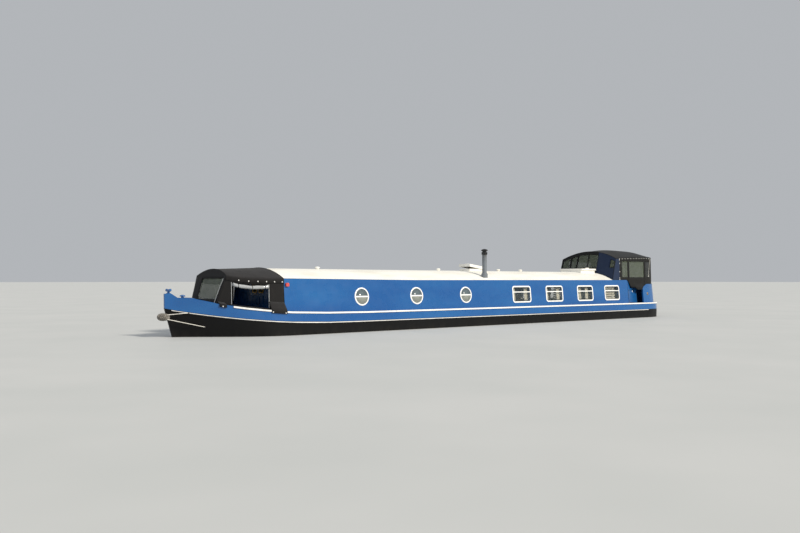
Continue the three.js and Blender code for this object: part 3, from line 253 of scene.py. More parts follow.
def tread_plate(name):
    """Grey painted tread plate: rows of raised bars that lie crosswise in turn, scuffed bright."""
    tree, shader, place = new_material(name, "#6C6E70", 0.5, 0.3)
    axes = add(tree, "SeparateXYZ", {"Vector": place}).node.outputs
    bars = []
    for crossing in ("ADD", "SUBTRACT"):
        line = add(tree, "Math", {0: axes["X"], 1: axes["Y"]}, operation=crossing)
        turns = add(tree, "Math", {0: line, 1: 2 * math.pi / TREAD_PITCH}, operation="MULTIPLY")
        bars.append(add(tree, "Math", {0: turns}, operation="SINE"))
    crossed = add(tree, "Math", {0: bars[0], 1: bars[1]}, operation="MULTIPLY")
    raised = add(tree, "MapRange", {"Value": crossed, "From Min": 0.35, "From Max": 0.6})
    cloud = add(tree, "TexNoise", {"Vector": place, "Scale": 1 / 0.2, **CLOUDS})
    trodden = add(tree, "MapRange", {"Value": cloud, "From Min": 0.4, "From Max": 0.6})
    scuffed = add(tree, "Math", {0: raised, 1: trodden}, operation="MULTIPLY")
    colour = add(tree, "Mix", {0: scuffed, MIX_A: "#64676A", MIX_B: "#9A9C9E"}, MIX_RESULT, data_type="RGBA")
    normal = add(tree, "Bump", {"Height": raised, "Distance": 0.0015, "Strength": 1.0})
    feed(tree, shader, Base_Color=colour, Normal=normal)


roof_paint("cream_paint")
tread_plate("deck_grey")
print("deck paint and tread plate: cream_paint, deck_grey")

# %% [markdown]
# Many small things share one finish: satin paint, powder coat, moulded rubber or linen that is
# stained in spots of 90 mm and rubbed in smaller ones. Each could have a recipe of its own, but one
# recipe does, with a table of colours and roughness. The flue's heat-proof grey differs, because
# soot darkens it towards the top.

# %% Satin finishes and the flue
SATIN = {  # base colour, worn colour, roughness
    "white_paint": ("#F1F0EC", "#D3CFC4", 0.35),
    "window_white": ("#F4F4F1", "#DFDDD4", 0.28),
    "black_paint": ("#141416", "#2B2B2C", 0.3),
    "engine_green": ("#35604A", "#27422F", 0.4),
    "rubber": ("#1A1A1B", "#2C2B2A", 0.75),
    "blind_cream": ("#E9E2CD", "#CFC4A6", 0.7),
    # white_plastic also draws the chrome studs and turn buttons, white and large: painted glint.
    "white_plastic": ("#ECEBE6", "#D9D7CF", 0.4),
}


def satin_finish(name, base, worn, roughness):
    """Satin paint or moulding, rubbed and stained in small patches."""
    tree, shader, place = new_material(name, base, roughness)
    spots = add(tree, "TexNoise", {"Vector": place, "Scale": 1 / 0.09, **CLOUDS, "Detail": 5.0})
    stains = add(tree, "MapRange", {"Value": spots, "From Min": 0.5, "From Max": 0.78})
    colour = add(tree, "Mix", {0: stains, MIX_A: base, MIX_B: worn}, MIX_RESULT, data_type="RGBA")
    rubs = add(tree, "TexNoise", {"Vector": place, "Scale": 1 / 0.05, **CLOUDS})
    gloss = add(tree, "MapRange", {
        "Value": rubs, "From Min": 0.3, "From Max": 0.7, "To Min": roughness, "To Max": roughness + 0.15,
    })
    skin = add(tree, "TexNoise", {"Vector": place, "Scale": 1 / 0.008, **CLOUDS})
    normal = add(tree, "Bump", {"Height": skin, "Distance": 0.0004, "Strength": 1.0})
    feed(tree, shader, Base_Color=colour, Roughness=gloss, Normal=normal)


def flue_paint(name):
    """Grey heat-proof paint on a steel flue, browned and sooty towards the top."""
    tree, shader, place = new_material(name, "#747A80", 0.6, 0.2)
    level = add(tree, "SeparateXYZ", {"Vector": place}, "Z")
    upper = add(tree, "MapRange", {"Value": level, "From Min": 2.75, "From Max": 3.05})
    cloud = add(tree, "TexNoise", {"Vector": place, "Scale": 1 / 0.06, **CLOUDS})
    patchy = add(tree, "MapRange", {"Value": cloud, "From Min": 0.3, "From Max": 0.7})
    soot = add(tree, "Math", {0: upper, 1: patchy}, operation="MULTIPLY")
    colour = add(tree, "Mix", {0: soot, MIX_A: "#747A80", MIX_B: "#4A4643"}, MIX_RESULT, data_type="RGBA")
    skin = add(tree, "TexNoise", {"Vector": place, "Scale": 1 / 0.01, **CLOUDS})
    normal = add(tree, "Bump", {"Height": skin, "Distance": 0.0006, "Strength": 1.0})
    feed(tree, shader, Base_Color=colour, Normal=normal)


for name, row in SATIN.items():
    satin_finish(name, *row)
flue_paint("flue_grey")
print("satin finishes:", len(SATIN), "and flue_grey")

# %% [markdown]
# ## Canvas
# Covers are woven acrylic. Its yarns are half a millimetre thick, which is too fine for the render,
# so the weave is drawn with yarns of 0.8 mm that show close up. From afar only the slow change of
# tone shows: what faces up is drawn lighter, partly as sun fading and partly as painted light from
# the sky, and dust lies in the folds.

# %% Canvas
YARN = 0.0008


def canvas(name, base, faded, dusty):
    """Woven acrylic canvas: plain weave, lighter on top from sun fading and painted skylight, dust in the
    folds, wrinkles of 0.16 m.
    """
    tree, shader, place = new_material(name, base, 0.88, Sheen_Weight=0.06, Specular_IOR_Level=0.15)
    threads = []
    for way in ((1, 0, 0), (0, 1, 1)):
        turns = [axis * math.pi / YARN for axis in way]
        counted = add(tree, "VectorMath", {0: place, 1: turns}, "Value", operation="DOT_PRODUCT")
        threads.append(add(tree, "Math", {0: counted}, operation="SINE"))
    weave = add(tree, "Math", {0: threads[0], 1: threads[1]}, operation="MULTIPLY")
    # Faces that point up are mixed towards the lighter colour: sun fading, and painted skylight on the top.
    facing = add(tree, "SeparateXYZ", {"Vector": add(tree, "NewGeometry", out="Normal")}, "Z")
    sunlit = add(tree, "MapRange", {"Value": facing, "From Min": 0.1, "From Max": 1.0})
    cloud = add(tree, "TexNoise", {"Vector": place, "Scale": 1 / 0.5, **CLOUDS})
    uneven = add(tree, "MapRange", {"Value": cloud, "From Min": 0.3, "From Max": 0.7, "To Min": 0.5})
    fade_and_skylight = add(tree, "Math", {0: sunlit, 1: uneven}, operation="MULTIPLY")
    toned = add(tree, "Mix", {0: fade_and_skylight, MIX_A: base, MIX_B: faded}, MIX_RESULT, data_type="RGBA")
    folds = add(tree, "Mapping", {"Vector": place, "Scale": (1.0, 1.0, 0.5)})
    settled = add(tree, "TexNoise", {"Vector": folds, "Scale": 1 / 0.22, **CLOUDS, "Detail": 6.0})
    dust = add(tree, "MapRange", {"Value": settled, "From Min": 0.55, "From Max": 0.85, "To Max": 0.35})
    colour = add(tree, "Mix", {0: dust, MIX_A: toned, MIX_B: dusty}, MIX_RESULT, data_type="RGBA")
    upright = add(tree, "Mapping", {"Vector": place, "Scale": (1.0, 1.0, 0.7)})
    wrinkles = add(tree, "TexNoise", {"Vector": upright, "Scale": 1 / 0.16, **CLOUDS, "Detail": 2.0})
    height = add(tree, "Math", {0: weave, 1: 0.02, 2: wrinkles}, operation="MULTIPLY_ADD")
    normal = add(tree, "Bump", {"Height": height, "Distance": 0.012, "Strength": 0.8})
    feed(tree, shader, Base_Color=colour, Normal=normal)


canvas("charcoal_canvas", "#212020", "#323132", "#393633")
canvas("navy_canvas", "#1D1D1C", "#2A2C2F", "#2E2F31")
canvas("blue_canvas", "#253148", "#2A3650", "#343B49")
print("canvas: charcoal, navy and a bluer repair")

# %% [markdown]
# ## Clear plastic and glass
# Windows in canvas are thin soft vinyl film. Refraction could be traced through it, but a film bends
# light so little that partial opacity looks the same and renders sooner. Ripples bend the
# highlights, and the film is milky where it has been rolled. Behind the cabin's glass it is dim, so
# the panes are drawn dark above and paler below, where daylight shines in.

# %% Clear plastic and glass


def clear_plastic(name, tint, opacity):
    """Calendered vinyl film: see-through, rippled every 0.14 m, milky in places."""
    tree, shader, place = new_material(name, tint, 0.12)
    soft = add(tree, "Mapping", {"Vector": place, "Scale": (0.6, 0.6, 1.4)})
    ripples = add(tree, "TexNoise", {"Vector": soft, "Scale": 1 / 0.14, **CLOUDS, "Detail": 2.0})
    milky = add(tree, "MapRange", {
        "Value": ripples, "From Min": 0.35, "From Max": 0.75, "To Min": opacity, "To Max": opacity + 0.22,
    })
    normal = add(tree, "Bump", {"Height": ripples, "Distance": 0.02, "Strength": 0.7})
    feed(tree, shader, Alpha=milky, Normal=normal)


def dark_glass(name, upper, lower, opacity):
    """Float glass before a dim cabin: smooth, a little dusty, grey above and paler below."""
    tree, shader, place = new_material(name, upper, 0.18, Specular_IOR_Level=0.4)
    specks = add(tree, "TexNoise", {"Vector": place, "Scale": 1 / 0.15, **CLOUDS, "Detail": 5.0})
    dusty = min(1.0, opacity + 0.1)
    film = add(tree, "MapRange", {
        "Value": specks, "From Min": 0.45, "From Max": 0.8, "To Min": opacity, "To Max": dusty,
    })
    level = add(tree, "SeparateXYZ", {"Vector": place}, "Z")
    shapes = add(tree, "TexNoise", {"Vector": place, "Scale": 1 / 0.12, **CLOUDS, "Detail": 2.0})
    lowered = add(tree, "Math", {0: shapes, 1: -0.20, 2: level}, operation="MULTIPLY_ADD")
    pale = add(tree, "MapRange", {"Value": lowered, "From Min": 1.64, "From Max": 1.58})
    colour = add(tree, "Mix", {0: pale, MIX_A: upper, MIX_B: lower}, MIX_RESULT, data_type="RGBA")
    dust = add(tree, "TexNoise", {"Vector": place, "Scale": 1 / 0.05, **CLOUDS})
    gloss = add(tree, "MapRange", {
        "Value": dust, "From Min": 0.4, "From Max": 0.8, "To Min": 0.18, "To Max": 0.30,
    })
    feed(tree, shader, Alpha=film, Base_Color=colour, Roughness=gloss)


clear_plastic("clear_plastic", "#5A6252", 0.42)
clear_plastic("smoked_plastic", "#2B2D2B", 0.80)
clear_plastic("rolled_plastic", "#B4B7B8", 0.72)
dark_glass("window_glass", "#5F6B70", "#7F8886", 0.16)
dark_glass("porthole_glass", "#5E6A70", "#969A92", 0.92)
print("films and glass: 3 and 2")

# %% [markdown]
# ## Rope, metal, wood and lenses
# Rope is laid from strands that cross it aslant. On thin lines they are too small to be modelled,
# so the material draws them: the sum of the three coordinates rises aslant whichever way a rope
# runs, and its sine gives every rope its lay. Metals are drawn or cast and tarnish in patches. The
# bow's board is varnished hardwood with long grain, and the lamps have ribbed lenses of acrylic.

# %% Rope, metal, wood and lenses


def laid_rope(name, base, pale, strand):
    """Laid rope: twisted strands with fine fibres, pale where it has rubbed."""
    tree, shader, place = new_material(name, base, 0.95, Sheen_Weight=0.3)
    aslant = add(tree, "VectorMath", {0: place, 1: (1, 1, 1)}, "Value", operation="DOT_PRODUCT")
    turns = add(tree, "Math", {0: aslant, 1: 2 * math.pi / strand}, operation="MULTIPLY")
    lay = add(tree, "Math", {0: turns}, operation="SINE")
    fuzz = add(tree, "TexNoise", {"Vector": place, "Scale": 6 / strand, **CLOUDS})
    twisted = add(tree, "Math", {0: lay, 1: fuzz}, operation="ADD")
    share = add(tree, "MapRange", {"Value": twisted, "From Min": -0.4, "From Max": 1.4})
    colour = add(tree, "Mix", {0: share, MIX_A: base, MIX_B: pale}, MIX_RESULT, data_type="RGBA")
    normal = add(tree, "Bump", {"Height": twisted, "Distance": strand / 8, "Strength": 1.0})
    feed(tree, shader, Base_Color=colour, Normal=normal)


def bare_metal(name, base, tarnish, roughness):
    """Drawn or cast metal: grain of 4 mm, drawn out along X, tarnished in patches of 60 mm."""
    tree, shader, place = new_material(name, base, roughness, 0.95)
    cloud = add(tree, "TexNoise", {"Vector": place, "Scale": 1 / 0.06, **CLOUDS, "Detail": 5.0})
    patches = add(tree, "MapRange", {"Value": cloud, "From Min": 0.45, "From Max": 0.75})
    colour = add(tree, "Mix", {0: patches, MIX_A: base, MIX_B: tarnish}, MIX_RESULT, data_type="RGBA")
    gloss = add(tree, "MapRange", {"Value": patches, "To Min": roughness, "To Max": roughness + 0.25})
    drawn = add(tree, "Mapping", {"Vector": place, "Scale": (0.1, 1.0, 1.0)})
    grain = add(tree, "TexNoise", {"Vector": drawn, "Scale": 1 / 0.004, **CLOUDS})
    normal = add(tree, "Bump", {"Height": grain, "Distance": 0.0003, "Strength": 1.0})
    feed(tree, shader, Base_Color=colour, Roughness=gloss, Normal=normal)


def varnished_wood(name):
    """Varnished hardwood boards: long grain with darker pores under a clear coat."""
    tree, shader, place = new_material(name, "#7A5230", 0.4, Coat_Weight=0.3)
    fibres = add(tree, "Mapping", {"Vector": place, "Scale": (1.0, 6.0, 0.5)})
    grain = add(tree, "TexNoise", {"Vector": fibres, "Scale": 1 / 0.05, **CLOUDS, "Detail": 8.0})
    boards = add(tree, "Mapping", {"Vector": place, "Scale": (1.0, 1.0, 0.15)})
    rings = add(tree, "TexWave", {
        "Vector": boards, "Scale": 9.0, "Distortion": 6.0, "Detail": 3.0,
    }, "Fac", bands_direction="Y")
    both = add(tree, "Math", {0: grain, 1: rings}, operation="ADD")
    share = add(tree, "Math", {0: both, 1: 0.5}, operation="MULTIPLY")
    colour = add(tree, "Mix", {0: share, MIX_A: "#5C3A1F", MIX_B: "#94683F"}, MIX_RESULT, data_type="RGBA")
    normal = add(tree, "Bump", {"Height": grain, "Distance": 0.0005, "Strength": 1.0})
    feed(tree, shader, Base_Color=colour, Normal=normal)


def signal_lens(name, base):
    """Coloured signal lens: moulded acrylic with upright ribs every 6 mm, dusty."""
    tree, shader, place = new_material(name, base, 0.35, Coat_Weight=0.2)
    along = add(tree, "SeparateXYZ", {"Vector": place}, "X")
    turns = add(tree, "Math", {0: along, 1: 2 * math.pi / 0.006}, operation="MULTIPLY")
    ribs = add(tree, "Math", {0: turns}, operation="SINE")
    cloud = add(tree, "TexNoise", {"Vector": place, "Scale": 1 / 0.02, **CLOUDS})
    dust = add(tree, "MapRange", {"Value": cloud, "From Min": 0.4, "From Max": 0.8, "To Max": 0.25})
    colour = add(tree, "Mix", {0: dust, MIX_A: base, MIX_B: "#B9A79B"}, MIX_RESULT, data_type="RGBA")
    normal = add(tree, "Bump", {"Height": ribs, "Distance": 0.0004, "Strength": 1.0})
    feed(tree, shader, Base_Color=colour, Normal=normal)


laid_rope("rope", "#5C5750", "#8C867B", 0.05)
laid_rope("pale_line", "#D9D4C8", "#F2EFE6", 0.012)
bare_metal("tube_steel", "#B4B6B8", "#8E8F90", 0.28)
bare_metal("bronze", "#A97C3C", "#6E5A34", 0.35)
bare_metal("brass", "#C9A24E", "#8C6E36", 0.25)
varnished_wood("wood")
signal_lens("red_lens", "#C3211C")
signal_lens("green_lens", "#14803C")
print("materials in all:", len(MATERIALS))

# %% [markdown]
# ## How a piece is made
# Every new piece is a mesh at the origin whose vertices already stand in their place on the boat. It
# could be a child of a CAD node instead; riding on a body of the frame is simpler, and it moves with
# doors, gates and lids all the same.


def attach(piece, material, body, replaces):
    """Gives a piece its material and body, and hides the CAD nodes that it stands for."""
    piece.data.materials.append(MATERIALS[material])
    bpy.context.scene.collection.objects.link(piece)
    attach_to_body(piece, body)
    if replaces:
        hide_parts(*replaces)
    return piece


def make_piece(name, bm, material, body="boat", matrix=None, replaces=(), smooth=32.0, closed=True):
    """Turns a bmesh into a piece, smooth across shallow edges and sharp at the others."""
    if matrix is not None:
        bmesh.ops.transform(bm, matrix=matrix, verts=bm.verts[:])
    if closed:
        bmesh.ops.recalc_face_normals(bm, faces=bm.faces[:])
    mesh = bpy.data.meshes.new(name)
    bm.to_mesh(mesh)
    bm.free()
    mesh.shade_smooth()
    mesh.set_sharp_from_angle(angle=math.radians(smooth))
    return attach(bpy.data.objects.new(name, mesh), material, body, replaces)


# %% [markdown]
# ## Finishes on the CAD pieces
# A CAD piece whose shape is right stays as it is. Its mesh is loose triangles, which would shade as
# facets. It could be merged by hand; one set of geometry nodes on every node welds it and smooths
# it across shallow edges, and leaves the mesh itself alone. Hatch lids get rounded edges besides.

# %% Weld and finish the CAD nodes
SHALLOW = math.radians(28)
WELD_DISTANCE = 0.00004
ROUNDED_LIDS = ("roof_hatch_mid", "roof_hatch_aft", "companion_hatch", "fore_locker_lid")


def welding_nodes():
    """Geometry nodes that weld loose triangles and shade them smooth across shallow edges."""
    group = bpy.data.node_groups.new("weld_and_shade", "GeometryNodeTree")
    for way in ("INPUT", "OUTPUT"):
        group.interface.new_socket("Geometry", in_out=way, socket_type="NodeSocketGeometry")
    start = group.nodes.new("NodeGroupInput")
    weld = group.nodes.new("GeometryNodeMergeByDistance")
    weld.inputs["Distance"].default_value = WELD_DISTANCE
    every_face = group.nodes.new("GeometryNodeSetShadeSmooth")
    angle = group.nodes.new("GeometryNodeInputMeshEdgeAngle")
    shallow = group.nodes.new("FunctionNodeCompare")
    shallow.operation = "LESS_THAN"
    shallow.inputs[1].default_value = SHALLOW
    by_edge = group.nodes.new("GeometryNodeSetShadeSmooth")
    by_edge.domain = "EDGE"
    end = group.nodes.new("NodeGroupOutput")
    links = group.links
    links.new(start.outputs[0], weld.inputs["Geometry"])
    links.new(weld.outputs[0], every_face.inputs["Geometry"])
    links.new(every_face.outputs[0], by_edge.inputs["Geometry"])
    links.new(angle.outputs["Unsigned Angle"], shallow.inputs[0])
    links.new(shallow.outputs[0], by_edge.inputs["Shade Smooth"])
    links.new(by_edge.outputs[0], end.inputs[0])
    return group


def finish_node(node, weld_group):
    """Gives a CAD node the finish of each of its slots, and welds it."""
    for place in node.material_slots:
        finish = MATERIALS[place.material.name.split(".")[0]]
        place.link = "OBJECT"
        place.material = finish
    node.modifiers.new("weld_and_shade", "NODES").node_group = weld_group


def round_lid(lid):
    """Rounds a lid's sharp edges."""
    rounded = lid.modifiers.new("edges", "BEVEL")
    rounded.width = 0.012
    rounded.segments = 3
    rounded.limit_method = "ANGLE"
    rounded.angle_limit = math.radians(40)


weld_group = welding_nodes()
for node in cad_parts.values():
    finish_node(node, weld_group)
for name in ROUNDED_LIDS:
    round_lid(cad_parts[name])
for name in ("rubbing_strake_port", "rubbing_strake_starboard"):
    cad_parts[name].material_slots[0].material = MATERIALS["strake_paint"]
print("finished CAD nodes:", len(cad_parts))

# %% [markdown]
# ## The boat's own surfaces
# The sides lean inwards, and windows and fittings sit on that lean. Each piece could be measured
# against its neighbour by rays; a few driving dimensions of the CAD model, repeated here, give the
# same surfaces as formulas, which can be laid with cloth or frames at any point.

# %% Surfaces
GUNWALE_Z = 1.29
SIDE_FOOT = 1.385
SIDE_TOP = 1.30
SIDE_TOP_Z = 2.19
ROOF_CROWN_Z = 2.50
LEAN = math.atan2(SIDE_FOOT - SIDE_TOP, SIDE_TOP_Z - GUNWALE_Z)
PORT, STARBOARD = 1, -1
SIDES = {"port": PORT, "starboard": STARBOARD}

# Deck edge at the bow: x, half breadth, height
DECK_EDGE = [
    (5.0, 1.500, 1.290), (7.6, 1.500, 1.345), (8.0, 1.465, 1.375), (8.4, 1.365, 1.418),
    (8.8, 1.200, 1.466), (9.1, 1.035, 1.512), (9.45, 0.800, 1.572), (9.75, 0.590, 1.650),
    (10.0, 0.400, 1.706), (10.25, 0.210, 1.716), (10.4, 0.110, 1.835), (10.55, 0.030, 1.835),
]


def table_at(table, x):
    """Reads a table of rows by its first column, straight between rows."""
    rows = sorted(table)
    if x <= rows[0][0]:
        return rows[0][1:]
    for low, high in zip(rows, rows[1:]):
        if x <= high[0]:
            share = (x - low[0]) / (high[0] - low[0])
            return tuple(a + (b - a) * share for a, b in zip(low[1:], high[1:]))
    return rows[-1][1:]


def side_face(z):
    """Half breadth of the cabin side's outer face at a height."""
    return SIDE_FOOT - (z - GUNWALE_Z) * math.tan(LEAN)


def on_side(x, z, side, proud=0.0):
    """Placement on the cabin side: local X runs aft on port, local Y up the side, local Z outwards."""
    across = Vector((-side, 0, 0))
    up = Vector((0, -side * math.sin(LEAN), math.cos(LEAN)))
    out = Vector((0, side * math.cos(LEAN), math.sin(LEAN)))
    matrix = Matrix((across, up, out)).transposed().to_4x4()
    matrix.translation = Vector((x, side * side_face(z), z)) + out * proud
    return matrix


def arch_height(half, edge_z, crown_z, y):
    """Height at y of an arc through both edges and the crown."""
    rise = crown_z - edge_z
    radius = (half ** 2 + rise ** 2) / (2 * rise)
    return crown_z - radius + math.sqrt(max(radius ** 2 - y ** 2, 0.0))


def roof_height(y):
    """Height of the cabin roof at the after end."""
    return arch_height(SIDE_TOP, SIDE_TOP_Z, ROOF_CROWN_Z, y)


def ripple(a, b, depth):
    """A small smooth wave over a sheet, the same on every run."""
    wave = math.sin(7.1 * a + 1.3) * math.sin(5.3 * b + 0.4) + 0.5 * math.sin(17.0 * a + 9.0 * b)
    return depth * wave / 1.5


# %% [markdown]
# ## Windows
# On the real boat each window is a frame of white aluminium with a sliding hopper above a fixed
# pane, a black rubber seal and glass. A frame could be cut from a block with booleans. Here a flat
# face with rounded corners is inset, cut open and raised, which keeps the mesh clean, and a bevel
# catches the light. The sizes come from the CAD node that it replaces.

# %% Windows
FRAME_BAND = 0.048
FRAME_CORNER = 0.105
FRAME_PROUD = 0.0133
BAR_SHARE = 0.66
BAR_HEIGHT = 0.034
SEAL = {"overlap": 0.004, "band": 0.012, "depth": 0.006}
GLASS = {"inset": 0.01, "behind": 0.004, "thick": 0.004}
WINDOWS_A_SIDE = 4
SHARP = math.radians(50)


def rounded_face(width, height, corner, segments=6):
    """A flat face with rounded corners, centred on the origin and facing +Z."""
    bm = bmesh.new()
    bmesh.ops.create_grid(bm, x_segments=1, y_segments=1, size=0.5)
    bmesh.ops.scale(bm, vec=(width, height, 1.0), verts=bm.verts[:])
    bmesh.ops.bevel(bm, geom=bm.verts[:], offset=corner, offset_type="OFFSET", segments=segments,
                    profile=0.5, affect="VERTICES", material=-1)
    return bm


def rounded_ring(width, height, corner, band, depth):
    """A raised ring with rounded corners: the face inset, its middle cut out, the rest extruded."""
    bm = rounded_face(width, height, corner)
    middle = bm.faces[:]
    bmesh.ops.inset_region(bm, faces=middle, thickness=band, use_even_offset=True, use_boundary=True)
    bmesh.ops.delete(bm, geom=middle, context="FACES_ONLY")
    raised = bmesh.ops.extrude_face_region(bm, geom=bm.faces[:])["geom"]
    top = [item for item in raised if isinstance(item, bmesh.types.BMVert)]
    bmesh.ops.translate(bm, verts=top, vec=(0, 0, depth))
    bmesh.ops.recalc_face_normals(bm, faces=bm.faces[:])
    return bm


def add_box(bm, centre, size, turn=None):
    """Adds a block to a bmesh, turned about its centre."""
    bmesh.ops.create_cube(bm, size=1.0, matrix=Matrix.LocRotScale(Vector(centre), turn, Vector(size)))


def round_edges(bm, width, segments=2):
    """Bevels the edges whose faces meet sharply."""
    sharp = [edge for edge in bm.edges if edge.is_manifold and edge.calc_face_angle(0.0) > SHARP]
    bmesh.ops.bevel(bm, geom=sharp, offset=width, offset_type="OFFSET", segments=segments,
                    profile=0.5, affect="EDGES", clamp_overlap=True, material=-1)


def thicken(piece, thickness):
    """Gives a sheet its thickness, inwards from the surface that was drawn."""
    solid = piece.modifiers.new("thickness", "SOLIDIFY")
    solid.thickness = thickness
    solid.offset = -1.0


def build_window(side_name, number):
    """Frame, seal and glass of one window. Returns its placement and the size of its opening."""
    node = f"window_{side_name}_{number}"
    low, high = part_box(node)
    width = high.x - low.x
    height = (high.z - low.z - 2 * FRAME_PROUD * math.sin(LEAN)) / math.cos(LEAN)
    matrix = on_side((low.x + high.x) / 2, (low.z + high.z) / 2, SIDES[side_name])
    clear = (width - 2 * FRAME_BAND, height - 2 * FRAME_BAND)
    corner = FRAME_CORNER - FRAME_BAND

    bm = rounded_ring(width, height, FRAME_CORNER, FRAME_BAND, FRAME_PROUD)
    bar_y = (BAR_SHARE - 0.5) * clear[1]
    add_box(bm, (0, bar_y, FRAME_PROUD * 0.4), (clear[0], BAR_HEIGHT, FRAME_PROUD * 0.9))
    round_edges(bm, 0.0035)
    make_piece(f"{node}_frame", bm, "window_white", matrix=matrix, replaces=[node])

    sealed = [size + SEAL["overlap"] for size in clear]
    bm = rounded_ring(*sealed, corner, SEAL["band"], SEAL["depth"])
    make_piece(f"{node}_seal", bm, "rubber", matrix=matrix @ Matrix.Translation((0, 0, -0.002)))

    bm = rounded_face(clear[0] - GLASS["inset"], clear[1] - GLASS["inset"], corner)
    behind = matrix @ Matrix.Translation((0, 0, -GLASS["behind"]))
    glass = make_piece(f"{node}_glass", bm, "window_glass", matrix=behind, closed=False)
    thicken(glass, GLASS["thick"])
    return matrix, clear


openings = {}
for side_name in SIDES:
    for number in range(1, WINDOWS_A_SIDE + 1):
        openings[side_name, number] = build_window(side_name, number)
print("windows built:", len(openings), "each with frame, seal and glass")

# %% [markdown]
# Behind the glass of the aftermost window hangs a blind of broad cream slats, and behind the others
# pale curtains, drawn aside. Cloth could be simulated until it hangs; a grid laid over a wavy
# surface gives regular folds at once. Its rows meet given marks, so that cells can be cut out of it
# exactly, and the canvas covers are laid in the same way. A sheet's flat size, which is the size it
# is cut to before it is sewn, is worked out with 4 % for hems.

# %% Blinds and curtains
BLIND_SLATS = 5
BLIND_TILT = 0.35
BLIND_MARGIN = 0.14
HEM_ALLOWANCE = 1.04
FOLD_PITCH = 0.075
CURTAIN_SPANS = {  # left and right edge of each curtain across a window
    1: [(-0.41, -0.23), (0.23, 0.41)],
    2: [(-0.41, -0.23), (0.23, 0.41)],
    3: [(-0.41, -0.12), (0.13, 0.30)],
}


def stops(marks, step):
    """Values that meet every mark and are never further apart than a step."""
    values = [marks[0]]
    for low, high in zip(marks, marks[1:]):
        count = max(1, math.ceil(abs(high - low) / step))
        values += [low + (high - low) * i / count for i in range(1, count + 1)]
    return values


def face_away(bm, middle):
    """Turns a sheet's faces round if most of them face a point inside the boat."""
    bm.normal_update()
    away = 0.0
    for face in bm.faces:
        away += face.normal.dot(face.calc_center_median() - middle) * face.calc_area()
    if away < 0:
        bmesh.ops.reverse_faces(bm, faces=bm.faces[:])


def laid_grid(us, vs, place, holes=(), outward=None):
    """A grid laid over a surface, with cells cut out where a hole (u0, u1, v0, v1) is."""
    bm = bmesh.new()
    columns = len(us) - 1
    rows = len(vs) - 1
    bmesh.ops.create_grid(bm, x_segments=columns, y_segments=rows, size=0.5)
    cut = []
    for face in bm.faces:
        middle = face.calc_center_median()
        column = int((middle.x + 0.5) * columns)
        row = int((middle.y + 0.5) * rows)
        u = (us[column] + us[column + 1]) / 2
        v = (vs[row] + vs[row + 1]) / 2
        if any(u0 < u < u1 and v0 < v < v1 for u0, u1, v0, v1 in holes):
            cut.append(face)
    for vertex in bm.verts:
        column = round((vertex.co.x + 0.5) * columns)
        row = round((vertex.co.y + 0.5) * rows)
        vertex.co = place(us[column], vs[row])
    bmesh.ops.delete(bm, geom=cut, context="FACES")
    if outward is not None:
        face_away(bm, outward)
    return bm


def area_of(bm):
    """The sheet's area as it hangs."""
    return sum(face.calc_area() for face in bm.faces)


def build_blind(side_name, number, matrix, clear):
    """Broad cream slats that cover most of a window from inside, on two tapes."""
    pitch = clear[1] / BLIND_SLATS
    tilt = Matrix.Rotation(BLIND_TILT, 3, "X").to_quaternion()
    slat = (clear[0] - BLIND_MARGIN, pitch * 0.74, 0.004)
    bm = bmesh.new()
    for i in range(BLIND_SLATS):
        add_box(bm, (-0.07, -clear[1] / 2 + (i + 0.5) * pitch, -0.09), slat, tilt)
    for x in (-0.28, 0.14):
        add_box(bm, (x, 0, -0.062), (0.020, clear[1], 0.0015))
    round_edges(bm, 0.0005, 1)
    make_piece(f"blind_{side_name}_{number}", bm, "blind_cream", matrix=matrix)


def build_curtains(side_name, number, matrix, clear, spans):
    """Pale curtains hung in folds behind the glass, one sheet for each span across the window."""
    for order, (left, right) in enumerate(spans, 1):
        folds = 2 * math.pi * max(2, round((right - left) / FOLD_PITCH))

        def hang(u, v):
            share = (u - left) / (right - left)
            depth = 0.016 * math.sin(folds * share) * (0.6 + 0.4 * v)
            return matrix @ Vector((u, clear[1] * (0.5 - v), -0.10 + depth))

        bm = laid_grid(stops([left, right], 0.008), stops([0.0, 0.96], 0.12), hang)
        width = HEM_ALLOWANCE * area_of(bm) / clear[1]
        name = f"curtain_{side_name}_{number}_{order}"
        curtain = make_piece(name, bm, "blind_cream", smooth=60.0, closed=False)
        thicken(curtain, 0.0012)


for (side_name, number), (matrix, clear) in openings.items():
    if number in CURTAIN_SPANS:
        build_curtains(side_name, number, matrix, clear, CURTAIN_SPANS[number])
    else:
        build_blind(side_name, number, matrix, clear)
print("behind them: 2 blinds and", 4 * len(CURTAIN_SPANS), "curtains")

# %% [markdown]
# ## Portholes
# A porthole is a cast ring with a rolled lip, held by a circle of screws, with a bar across its dark
# glass. It could be carved from a cylinder. Spinning a profile gives lip, flange and each screw in
# one step, and it keeps the rims truly round.

# %% Portholes
PORTHOLE_CLEAR = 0.222
PORTHOLES_A_SIDE = 3
SCREWS = 12
SCREW = [(0.0, 0.003), (0.004, 0.0027), (0.007, 0.0)]


def spun(bm, profile, matrix, steps=40):
    """Spins a profile of (radius, height) points into a round solid or shell, placed by a matrix."""
    before = set(bm.verts)
    start = [bm.verts.new((radius, 0.0, height)) for radius, height in profile]
    edges = [bm.edges.new(pair) for pair in zip(start, start[1:])]
    bmesh.ops.spin(bm, geom=start + edges, cent=(0, 0, 0), axis=(0, 0, 1), angle=2 * math.pi,
                   steps=steps, use_merge=True)
    fresh = [vertex for vertex in bm.verts if vertex not in before]
    bmesh.ops.remove_doubles(bm, verts=fresh, dist=1e-6)
    bmesh.ops.transform(bm, matrix=matrix, verts=[vertex for vertex in fresh if vertex.is_valid])


